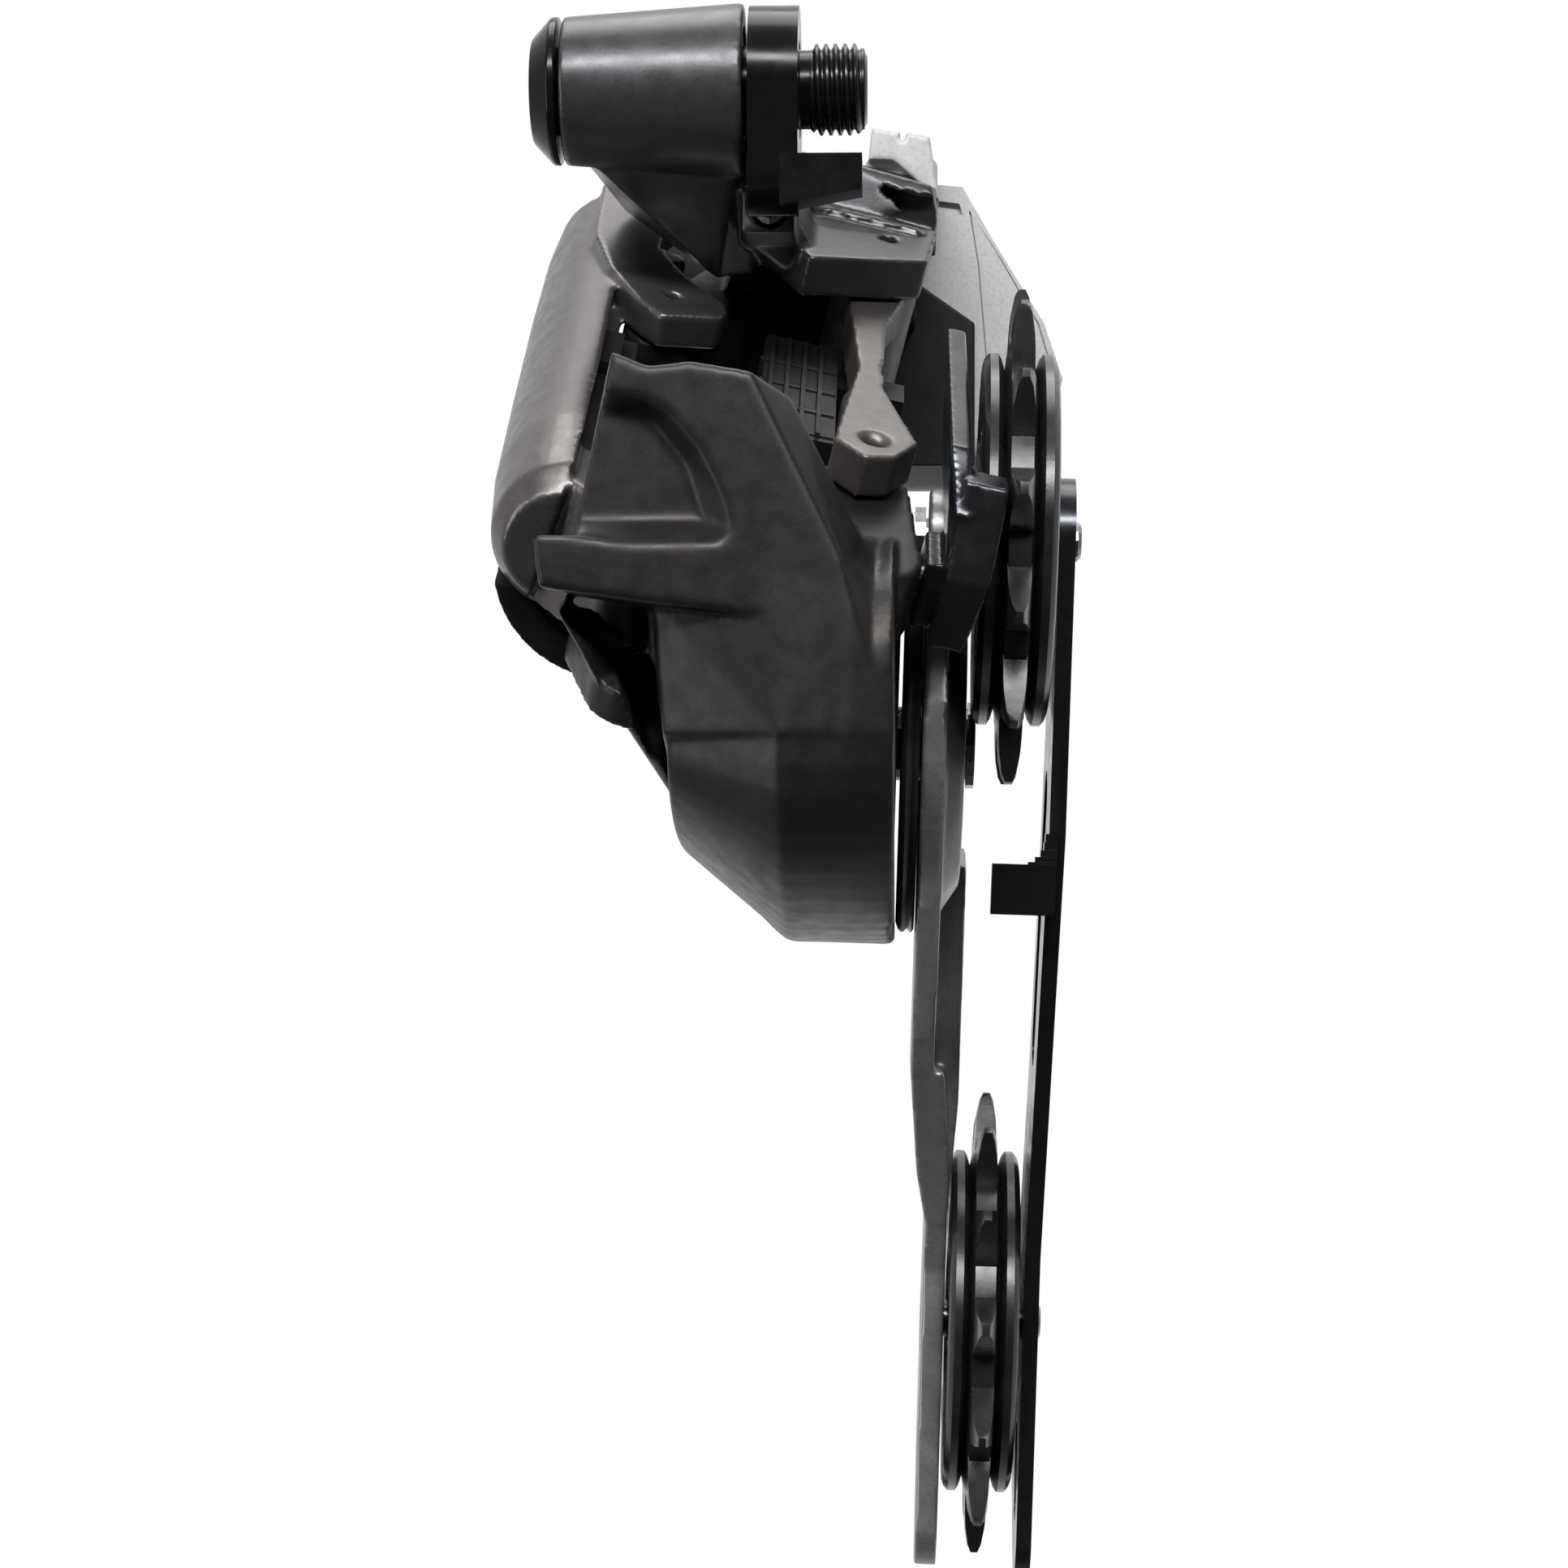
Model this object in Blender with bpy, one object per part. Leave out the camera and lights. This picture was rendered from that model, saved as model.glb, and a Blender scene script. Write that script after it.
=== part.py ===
"""Rear derailleur of a bicycle: motor driven, long caged, for a single chainring.

World axes: +X inboard towards the wheel, +Y rearward, +Z up. The origin is on the mounting bolt's axis, in the
face that seats on the frame's hanger. All sizes below are millimetres; as_object() turns them into
metres.
"""

import math

import bmesh
import bpy
from mathutils import Matrix, Vector

MM = 0.001
GAP = 0.3  # between neighbouring pieces
RUN = 0.4  # between a turning piece and what it turns in
EYE = 2.5  # bore radius of a link eye
PIN = 2.1  # link pin radius

# Mounting bolt and the barrel that swivels on it
THREAD_RADIUS = 5.0
NECK_RADIUS = 4.2
HEAD_RADIUS = 8.1
BOLT_OUTER_END = -29.6
BARREL_OUTER_END = -26.2
BARREL_INNER_END = -6.1
PLATE_OUTER_FACE = -5.5
PLATE_RADIUS = 9.15

# Parallelogram linkage: its pins lean inboard and forward, its links run down and forward
LINK_SLOPE = math.radians(30.0)
PIN_LEAN = math.radians(13.5)
LINK_LENGTH = 46.0
UPPER_INNER_PIVOT = Vector((6.7, 30.3, -23.4))
B1 = (0.0, 0.0)
A1 = (-23.6, -16.4)
B2 = (B1[0], B1[1] - LINK_LENGTH)
A2 = (A1[0], A1[1] - LINK_LENGTH)

# Drive gears: a fixed sector on the upper inner pivot and a pinion that rolls round it
GEAR_MODULE = 0.8
SECTOR_TEETH = 28
PINION_TEETH = 7
GEAR_LOW = -16.0
GEAR_HIGH = -13.4
PINION_ANGLE = math.radians(231.0)

# Cage: swings on an axle across the body's drum; the whole cage leans a little outboard towards its foot
CAGE_LEAN = math.radians(1.8)
CAGE_PIVOT = Vector((0.0, 12.0, -72.0))
GUIDE = (-12.0, 22.7)
TENSION = (25.0, -69.7)
CHAIN_LINE = 23.0
DRUM_RADIUS = 23.0
DRUM_INNER_FACE = 10.8

# Pulleys: thirteen teeth for a half inch chain, so 26.5 mm in pitch radius
PULLEY_TEETH = 13
PULLEY_TIP_RADIUS = 27.7
PULLEY_FLANGE_RADIUS = 20.5
PULLEY_HALF_WIDTH = 4.1

# Battery case behind the knuckle
CASE_FRONT = 50.0
CASE_REAR = 78.0
DOOR_THICKNESS = 2.2
HINGE_Y = 80.0
HINGE_Z = -35.4


# ---------------------------------------------------------------- frames


def frame(origin, first, second, third):
    """A matrix whose columns are three axes, placed at an origin."""
    turn = Matrix((first, second, third)).transposed()
    return Matrix.Translation(origin) @ turn.to_4x4()


def link_frame():
    """u inboard, v rearward along the links, h along the link pins."""
    along = Vector((0.0, math.cos(LINK_SLOPE), math.sin(LINK_SLOPE)))
    square = Vector((0.0, -math.sin(LINK_SLOPE), math.cos(LINK_SLOPE)))
    across = Vector((1.0, 0.0, 0.0))
    pin = math.cos(PIN_LEAN) * square + math.sin(PIN_LEAN) * across
    side = math.cos(PIN_LEAN) * across - math.sin(PIN_LEAN) * square
    return frame(UPPER_INNER_PIVOT, side, along, pin)


def cage_frame():
    """Rearward, up the cage, across it towards the wheel."""
    up = Vector((math.sin(CAGE_LEAN), 0.0, math.cos(CAGE_LEAN)))
    across = Vector((math.cos(CAGE_LEAN), 0.0, -math.sin(CAGE_LEAN)))
    return frame(CAGE_PIVOT, Vector((0.0, 1.0, 0.0)), up, across)


WORLD = Matrix.Identity(4)
BOLT = frame(Vector((0.0, 0.0, 0.0)), (0.0, 1.0, 0.0), (0.0, 0.0, 1.0), (1.0, 0.0, 0.0))
LINK = link_frame()
CAGE = cage_frame()


def link_point(pivot, height=0.0):
    return LINK @ Vector((pivot[0], pivot[1], height))


def cage_point(place, across=CHAIN_LINE):
    return CAGE @ Vector((place[0], place[1], across))


# ---------------------------------------------------------------- solids, as bmeshes in world millimetres


def circle(centre, radius, sides, start=0.0):
    """Points round a circle."""
    step = 2.0 * math.pi / sides
    turns = [start + step * i for i in range(sides)]
    return [(centre[0] + radius * math.cos(t), centre[1] + radius * math.sin(t)) for t in turns]


def arc(centre, radius, first, last, steps):
    """Points along an arc between two angles in degrees."""
    angles = [math.radians(first + (last - first) * i / steps) for i in range(steps + 1)]
    return [(centre[0] + radius * math.cos(t), centre[1] + radius * math.sin(t)) for t in angles]


def hull(place, points):
    """The convex solid round some points."""
    bm = bmesh.new()
    for point in points:
        bm.verts.new(place @ Vector(point))
    bmesh.ops.convex_hull(bm, input=bm.verts[:])
    loose = [v for v in bm.verts if not v.link_faces]
    bmesh.ops.delete(bm, geom=loose, context="VERTS")
    bmesh.ops.recalc_face_normals(bm, faces=bm.faces[:])
    return bm


def block(place, low, high):
    """A box between two corners."""
    corners = [(x, y, z) for x in (low[0], high[0]) for y in (low[1], high[1]) for z in (low[2], high[2])]
    return hull(place, corners)


def slab(place, discs, low, high, sides=14):
    """The convex plate round some discs, each (first, second, radius)."""
    points = []
    for a, b, radius in discs:
        for x, y in circle((a, b), radius, sides):
            points.append((x, y, low))
            points.append((x, y, high))
    return hull(place, points)


def prism(place, outline, low, high):
    """An outline, extruded from one level to another."""
    bm = bmesh.new()
    face = bm.faces.new([bm.verts.new(place @ Vector((x, y, low))) for x, y in outline])
    rise = (place.to_3x3() @ Vector((0.0, 0.0, 1.0))) * (high - low)
    grown = bmesh.ops.extrude_face_region(bm, geom=[face])
    moved = [g for g in grown["geom"] if isinstance(g, bmesh.types.BMVert)]
    bmesh.ops.translate(bm, verts=moved, vec=rise)
    bmesh.ops.recalc_face_normals(bm, faces=bm.faces[:])
    return bm


def turned(place, centre, profile, sides=24, hollow=False):
    """A profile of (level, radius) pairs turned round an axis; a hollow one closes on itself."""
    bm = bmesh.new()
    rings = []
    for level, radius in profile:
        points = circle(centre, radius, sides)
        rings.append([bm.verts.new(place @ Vector((x, y, level))) for x, y in points])
    pairs = list(zip(rings, rings[1:]))
    if hollow:
        pairs.append((rings[-1], rings[0]))
    else:
        bm.faces.new(rings[0])
        bm.faces.new(rings[-1])
    for lower, upper in pairs:
        for i in range(sides):
            j = (i + 1) % sides
            bm.faces.new((lower[i], lower[j], upper[j], upper[i]))
    bmesh.ops.recalc_face_normals(bm, faces=bm.faces[:])
    return bm


def rod(place, centre, radius, low, high, sides=16):
    return turned(place, centre, [(low, radius), (high, radius)], sides)


def tube(place, centre, inner, outer, low, high, sides=24):
    profile = [(low, inner), (low, outer), (high, outer), (high, inner)]
    return turned(place, centre, profile, sides, hollow=True)


# ---------------------------------------------------------------- objects


def look(name, colour, rough, metal):
    """A plain material."""
    material = bpy.data.materials.new(name)
    material.use_nodes = True
    shader = material.node_tree.nodes["Principled BSDF"]
    shader.inputs["Base Color"].default_value = (*colour, 1.0)
    shader.inputs["Roughness"].default_value = rough
    shader.inputs["Metallic"].default_value = metal
    return material


def as_object(name, bm, place):
    """A mesh object in metres, with its origin at a body's pivot."""
    bm.transform(Matrix.Scale(MM, 4) @ Matrix.Translation(-place))
    mesh = bpy.data.meshes.new(name)
    bm.to_mesh(mesh)
    bm.free()
    mesh.shade_smooth()
    mesh.set_sharp_from_angle(angle=math.radians(32.0))
    made = bpy.data.objects.new(name, mesh)
    bpy.context.scene.collection.objects.link(made)
    return made


class Body:
    """A set of pieces that move together, hung on an empty at their joint."""

    def __init__(self, name, pivot, parent=None):
        self.pivot = Vector(pivot)
        self.empty = bpy.data.objects.new("pivot_" + name, None)
        bpy.context.scene.collection.objects.link(self.empty)
        start = parent.pivot if parent else Vector((0.0, 0.0, 0.0))
        self.empty.parent = parent.empty if parent else None
        self.empty.location = (self.pivot - start) * MM

    def add(self, name, material, solids, cuts=()):
        """One closed piece: solids joined, then cuts taken out of them."""
        made = as_object(name, solids[0], self.pivot)
        made.parent = self.empty
        made.data.materials.append(material)
        shapes = [("UNION", s) for s in solids[1:]] + [("DIFFERENCE", c) for c in cuts]
        for count, (operation, shape) in enumerate(shapes):
            tool = as_object(f"{name}_{operation.lower()}_{count}", shape, self.pivot)
            tool.parent = self.empty
            tool.hide_render = True
            tool.display_type = "WIRE"
            boolean = made.modifiers.new(operation.title(), "BOOLEAN")
            boolean.operation = operation
            boolean.solver = "EXACT"
            boolean.object = tool
        return made


def clear_scene():
    for old in list(bpy.data.objects):
        bpy.data.objects.remove(old, do_unlink=True)


# ---------------------------------------------------------------- fixed to the hanger


def hex_socket(place, centre, across_flats, low, high):
    radius = across_flats / math.sqrt(3.0)
    return prism(place, circle(centre, radius, 6), low, high)


def add_mounting_bolt(root, finish):
    profile = [
        (BOLT_OUTER_END, 5.7),
        (BOLT_OUTER_END + 2.2, HEAD_RADIUS),
        (BARREL_OUTER_END - GAP, HEAD_RADIUS),
        (BARREL_OUTER_END - GAP, 4.8),
        (-0.2, 4.8),
        (0.0, NECK_RADIUS),
        (1.3, NECK_RADIUS),
        (1.6, THREAD_RADIUS),
        (6.7, THREAD_RADIUS),
        (7.5, 4.0),
    ]
    socket = hex_socket(BOLT, (0.0, 0.0), 5.0, BOLT_OUTER_END - 1.0, BOLT_OUTER_END + 6.0)
    root.add("mounting_bolt", finish, [turned(BOLT, (0.0, 0.0), profile)], [socket])


def add_stop_plate(root, finish):
    """Seats on the hanger; its tab hooks round the hanger's edge."""
    disc = slab(BOLT, [(0.0, 0.0, PLATE_RADIUS), (-3.6, -10.0, 4.6)], PLATE_OUTER_FACE, 0.0, 28)
    tab = hull(
        WORLD,
        [(x, y, z) for y in (-8.4, -3.0) for x, z in ((-2.0, -8.6), (7.0, -8.6), (7.0, -12.5), (-2.0, -14.2))],
    )
    bore = rod(BOLT, (0.0, 0.0), THREAD_RADIUS + RUN, PLATE_OUTER_FACE - 1.0, 1.0, 24)
    root.add("stop_plate", finish, [disc, tab], [bore])


# ---------------------------------------------------------------- knuckle on the mounting bolt


def add_knuckle(knuckle, finish):
    """Barrel, web and the ears of both upper link pivots."""
    barrel = turned(BOLT, (0.0, 0.0), [(BARREL_OUTER_END, 8.1), (BARREL_INNER_END, 9.45)], 28)
    neck = hull(
        WORLD,
        [(-25.2, -5.5, -4.0), (-25.2, 6.0, -4.0), (-6.4, -6.0, -4.0), (-6.4, 8.0, -2.0), (-6.4, 6.0, 6.0)]
        + [(-24.0, 6.0, 4.0)]
        + [LINK @ Vector(q) for q in ((-19.5, -3.0, 8.4), (-9.0, -8.0, 13.0), (-9.0, -8.0, 8.4))]
        + [LINK @ Vector(q) for q in ((-19.5, 9.0, 8.4), (-9.0, 12.0, 13.0), (-9.0, 12.0, 8.4))],
    )
    upper_ear = prism(
        LINK,
        [(-14.3, -2.0), (-11.0, -9.1), (-9.1, -11.6), (-1.5, -8.0), (4.8, -4.9), (6.1, 6.2), (6.2, 24.0)]
        + [(-12.0, 24.0)],
        8.0,
        13.0,
    )
    spine = slab(LINK, [(-17.0, 10.0, 3.2), (1.5, 10.5, 3.8), (1.5, 18.0, 4.0), (-14.0, 18.0, 3.0)], -12.8, 9.0)
    side = slab(LINK, [(-16.8, 2.0, 3.0), (-16.8, 9.0, 3.0)], -9.0, 10.0)
    outer_lug = slab(LINK, [(*A1, 4.9), (-17.0, 2.0, 4.4)], -8.7, 2.2)
    lower_ear = slab(LINK, [(*B1, 5.0), (-1.0, 9.0, 5.0)], -12.8, -6.4)
    bracket = block(WORLD, (-4.0, 38.0, -20.0), (13.0, CASE_FRONT - GAP, -4.0))
    back_wall = block(WORLD, (-17.0, 45.5, -27.0), (-3.0, CASE_FRONT - GAP, -3.0))
    screw_boss = hull(
        WORLD,
        [(x, y, z) for x in (-6.6, -0.6) for y, z in ((3.0, -10.4), (3.0, -15.2), (14.0, -15.2), (14.0, -8.0))],
    )
    cuts = [
        rod(BOLT, (0.0, 0.0), 6.9, BARREL_OUTER_END - 1.0, BARREL_INNER_END + 1.0, 24),
        rod(BOLT, (0.0, 0.0), PLATE_RADIUS + RUN, BARREL_INNER_END - 0.01, 8.0, 28),
        slab(BOLT, [(0.0, 0.0, PLATE_RADIUS + RUN), (-3.6, -10.0, 5.0)], BARREL_INNER_END, 0.5, 28),
        block(WORLD, (BARREL_INNER_END, -30.0, -17.0), (8.0, 1.5, 0.0)),
        block(LINK, (-40.0, -30.0, 2.25), (-17.3, 30.0, 7.3)),
        block(WORLD, (-20.0, CASE_FRONT - GAP, -45.0), (40.0, 70.0, 12.0)),
        rod(LINK, B1, PIN + GAP, -14.0, 14.0),
        rod(LINK, A1, PIN + GAP, -10.0, 3.0),
        rod(WORLD @ Matrix.Rotation(math.radians(-90.0), 4, "X"), (-3.5, 12.8), 2.0, 2.0, 24.0, 12),
    ]
    solids = [barrel, neck, upper_ear, spine, side, outer_lug, lower_ear, bracket, back_wall, screw_boss]
    knuckle.add("b_knuckle", finish, solids, cuts)


def add_knuckle_fittings(knuckle, steel, bronze, gear_steel):
    bush = tube(BOLT, (0.0, 0.0), THREAD_RADIUS + 0.2, 6.6, BARREL_OUTER_END + GAP, BARREL_INNER_END - GAP)
    knuckle.add("b_bush", bronze, [bush])
    knuckle.add("upper_inner_pin", steel, [rod(LINK, B1, PIN, -17.0, 12.4)])
    knuckle.add("upper_outer_pin", steel, [rod(LINK, A1, PIN, -13.0, 6.4)])
    outline = gear_outline(SECTOR_TEETH, GEAR_MODULE, B1, PINION_ANGLE)
    half = math.radians(80.0)
    kept = [p for p in outline if abs(turn_between(math.atan2(p[1], p[0]), PINION_ANGLE)) < half]
    back = arc(B1, 4.2, math.degrees(PINION_ANGLE) + 95.0, math.degrees(PINION_ANGLE) + 265.0, 10)
    sector = prism(LINK, kept + back, GEAR_LOW, GEAR_HIGH)
    knuckle.add("drive_sector", gear_steel, [sector], [rod(LINK, B1, PIN + GAP, -18.0, -12.0)])


def turn_between(angle, other):
    """The smallest turn from one angle to another."""
    return (angle - other + math.pi) % (2.0 * math.pi) - math.pi


def gear_outline(teeth, module, centre, facing, gap_faces=True):
    """Straight-sided teeth, narrowed for running clearance; a gap or a tooth faces the given way."""
    pitch = module * teeth / 2.0
    tip = pitch + 0.7 * module
    root = pitch - 1.1 * module
    step = 2.0 * math.pi / teeth
    shift = 0.5 if gap_faces else 0.0
    points = []
    for tooth in range(teeth):
        middle = facing + (tooth + shift - teeth // 2) * step
        for radius, offset in ((root, -0.27), (tip, -0.11), (tip, 0.11), (root, 0.27)):
            angle = middle + offset * step
            points.append((centre[0] + radius * math.cos(angle), centre[1] + radius * math.sin(angle)))
    return points


def pinion_centre():
    reach = GEAR_MODULE * (SECTOR_TEETH + PINION_TEETH) / 2.0 + 0.15
    return (reach * math.cos(PINION_ANGLE), reach * math.sin(PINION_ANGLE))


def add_battery_case(knuckle, plastic, board_green, dark, lens, steel):
    """An open-backed box for the battery, with a lug at each end of its door hinge."""
    outline = [(-5.0, -4.5), (16.0, -1.4), (19.0, -1.7), (23.0, -8.7), (29.3, -19.0), (31.6, -26.0)]
    outline += [(29.5, -33.4), (0.0, -33.4), (-5.0, -29.0)]
    across = frame((0.0, 0.0, 0.0), (1.0, 0.0, 0.0), (0.0, 0.0, 1.0), (0.0, -1.0, 0.0))
    shell = prism(across, outline, -CASE_REAR, -CASE_FRONT)
    lugs = [block(WORLD, (x, 74.0, HINGE_Z - 2.0), (x + 3.0, HINGE_Y + 2.0, -32.0)) for x in (0.5, 20.5)]
    cavity = prism(across, [(-2.6, -31.6), (-2.6, -5.0), (16.5, -3.6), (26.6, -20.0), (26.6, -31.6)], -80.0, -51.6)
    pin_hole = rod(BOLT, (HINGE_Y, HINGE_Z), 1.2, -1.0, 25.0, 12)
    button_hole = rod(BOLT, (62.0, -16.0), 3.4, -6.0, -1.0, 16)
    lens_hole = rod(BOLT, (69.0, -16.0), 1.5, -6.0, -1.0, 12)
    knuckle.add("battery_case", plastic, [shell] + lugs, [cavity, pin_hole, button_hole, lens_hole])
    knuckle.add("battery", dark, [block(WORLD, (-1.6, 55.0, -31.0), (17.2, 77.4, -6.2))])
    knuckle.add("radio_board", board_green, [block(WORLD, (-1.6, 52.4, -31.0), (17.2, 53.6, -8.0))])
    knuckle.add("status_lens", lens, [rod(BOLT, (69.0, -16.0), 1.2, -5.4, -3.0, 12)])
    knuckle.add("door_hinge_pin", steel, [rod(BOLT, (HINGE_Y, HINGE_Z), 0.9, 0.7, 23.3, 12)])


def add_battery_door(door, latch, plastic, latch_plastic):
    """A flap over the open back of the case, and the catch that slides down its outside."""
    low, high = CASE_REAR + GAP, CASE_REAR + GAP + DOOR_THICKNESS
    across = frame((0.0, 0.0, 0.0), (1.0, 0.0, 0.0), (0.0, 0.0, 1.0), (0.0, -1.0, 0.0))
    outline = [(-4.4, -5.0), (15.8, -2.2), (18.6, -2.6), (28.6, -19.4), (30.8, -26.0), (29.4, -31.4)]
    outline += [(-1.4, -31.4), (-4.4, -28.6)]
    flap = prism(across, outline, -high, -low)
    barrel = hull(
        WORLD,
        [(x, y, z) for x in (4.2, 19.8) for y, z in circle((HINGE_Y, HINGE_Z), 2.0, 12)]
        + [(x, y, -30.4) for x in (4.2, 19.8) for y in (low + 0.2, high - 0.2)],
    )
    bore = rod(BOLT, (HINGE_Y, HINGE_Z), 1.3, 3.0, 21.0, 12)
    door.add("battery_door", plastic, [flap, barrel], [bore])
    body = block(WORLD, (6.0, high + GAP, -12.0), (16.0, high + 2.2, -6.0))
    ridge = block(WORLD, (7.0, high + 1.6, -10.0), (15.0, high + 3.0, -8.6))
    latch.add("door_latch", latch_plastic, [body, ridge])


# ---------------------------------------------------------------- links


def add_outer_link(link, shell_metal, rubber):
    """A deep wall with a forked upper end and a single lower eye."""
    top_face = [(-34.3, 15.3), (-32.4, 14.7), (-25.0, 12.4), (-23.5, 10.8), (-24.7, 7.7), (-25.9, 2.8)]
    top_face += [(-26.0, -2.4), (-23.8, -7.1), (-22.1, -10.2), (-17.6, -15.6), (-17.3, -17.9)]
    top_face += [(-18.0, -20.1), (-24.6, -23.0), (-27.7, -19.4), (-31.5, -11.8), (-34.0, -2.2)]
    upper_ear = prism(LINK, top_face, 2.6, 6.8)
    wall = hull(
        LINK,
        [(-34.3, 15.0, 6.6), (-33.8, -2.2, 6.6), (-31.3, -11.8, 6.6), (-28.0, -19.0, 6.6), (-32.4, 12.0, 6.4)]
        + [(-37.6, 10.0, 0.0), (-39.0, -8.0, -4.0), (-38.8, -30.0, -5.0), (-38.0, -50.0, -5.0)]
        + [(-34.0, -63.6, -2.0), (-36.0, -62.0, -8.0), (-31.0, -62.0, 3.0), (-31.5, -40.0, 7.0)]
        + [(-36.5, 8.0, -10.0), (-37.5, -10.0, -15.0), (-36.6, -36.0, -11.0), (-34.5, -58.0, -11.0)]
        + [(-33.0, 6.0, -10.0), (-32.0, -12.0, -15.0), (-31.5, -36.0, -11.0), (-31.5, -58.0, -11.0)]
        + [(-30.0, -58.0, -6.0), (-30.0, -40.0, -6.0), (-31.0, 0.0, -6.0)],
    )
    lower_ear = slab(LINK, [(*A1, 5.0), (-33.0, -12.0, 4.0)], -13.2, -9.1)
    eye = slab(LINK, [(*A2, 4.6), (-31.5, -56.0, 3.6)], -12.8, 2.6)
    cuts = [rod(LINK, A1, EYE, -14.0, 8.0), rod(LINK, A2, EYE, -14.0, 8.0)]
    link.add("outer_link", shell_metal, [upper_ear, wall, lower_ear, eye], cuts)
    skid = LINK @ Matrix.Rotation(math.radians(90.0), 4, "X")
    outline = arc((-25.0, -8.5), 13.4, 203.0, 256.0, 8) + arc((-25.0, -8.5), 9.6, 246.0, 208.0, 6)
    link.add("link_bumper", rubber, [prism(skid, outline, 40.0, 60.0)])


def add_inner_link(link, forged, steel, plastic, copper, board_green):
    """A forged arm with a forked lower end; the drive unit is screwed to its outboard side."""
    upper_eye = rod(LINK, B1, 5.0, -6.0, 7.5, 18)
    arm = prism(
        LINK,
        [(-3.4, -3.0), (-3.2, -10.3), (-2.0, -27.0), (-3.8, -42.0), (-4.4, -47.8), (-1.0, -51.1), (2.4, -49.6)]
        + [(4.8, -44.8), (0.9, -31.7), (1.1, -13.7), (3.4, -3.0)],
        2.6,
        7.5,
    )
    web = slab(LINK, [(-1.0, -27.0, 1.9), (-1.0, -37.4, 1.9)], -11.4, 4.0)
    lower_ear = slab(LINK, [(*B2, 4.8), (-1.0, -38.0, 2.2)], -11.4, -6.6)
    cuts = [rod(LINK, B1, EYE, -8.0, 9.0), rod(LINK, B2, PIN + GAP, -13.0, 9.0)]
    link.add("inner_link", forged, [upper_eye, arm, web, lower_ear], cuts)
    link.add("lower_inner_pin", steel, [rod(LINK, B2, PIN, -11.2, 7.0)])
    pinion = pinion_centre()
    case = block(LINK, (-12.0, -38.0, -7.6), (-3.4, -11.0, 2.3))
    side_case = block(LINK, (1.4, -19.0, -7.6), (4.8, -14.0, 0.9))
    bridge = block(LINK, (-4.4, -19.0, -7.6), (2.4, -14.0, 0.9))
    nose = slab(LINK, [(*pinion, 3.0), (pinion[0], -14.0, 3.0)], -12.8, -6.6)
    cavity = block(LINK, (-11.0, -37.0, -9.0), (-4.4, -16.5, 1.3))
    shaft_hole = rod(LINK, pinion, 1.6, -14.0, -10.0, 12)
    link.add("drive_case", plastic, [case, nose, side_case, bridge], [cavity, shaft_hole])
    lid = block(LINK, (-12.0, -38.0, -9.2), (-3.4, -17.5, -7.6 - GAP))
    link.add("drive_cover", plastic, [lid])
    along = LINK @ Matrix.Rotation(math.radians(-90.0), 4, "X")
    motor = rod(along, (-7.7, 3.2), 2.7, -36.4, -24.5, 14)
    motor_shaft = rod(along, (-7.7, 3.2), 0.6, -25.0, -22.0, 10)
    link.add("drive_motor", copper, [motor, motor_shaft])
    worm = turned(along, (-7.7, 3.2), [(-21.6, 1.4), (-20.9, 2.0), (-19.4, 1.5), (-17.9, 2.0), (-17.2, 1.4)], 12)
    link.add("drive_worm", steel, [worm])
    link.add("drive_board", board_green, [block(LINK, (-10.6, -36.6, 0.0), (-4.8, -18.0, 0.9))])


def add_drive_pinion(pinion, gear_steel):
    centre = pinion_centre()
    opposite = PINION_ANGLE + math.pi
    teeth = prism(LINK, gear_outline(PINION_TEETH, GEAR_MODULE, centre, opposite, False), GEAR_LOW, GEAR_HIGH)
    shaft = rod(LINK, centre, 1.2, GEAR_HIGH - 0.5, -10.6, 12)
    pinion.add("drive_pinion", gear_steel, [teeth, shaft])


# ---------------------------------------------------------------- lower body


def nose_profile(reach, half_up, half_down, steps=7):
    """Points (rearward, up) of a housing that bulges forward from the cage axle, squarer above than below."""
    points = []
    for half, power in ((half_up, 4.0), (-half_down, 2.4)):
        for i in range(steps + 1):
            turn = math.radians(90.0 * i / steps)
            forward = reach * math.cos(turn) ** (2.0 / power)
            rise = half * math.sin(turn) ** (2.0 / power)
            points.append((CAGE_PIVOT.y - forward, CAGE_PIVOT.z + rise))
    return points


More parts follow.
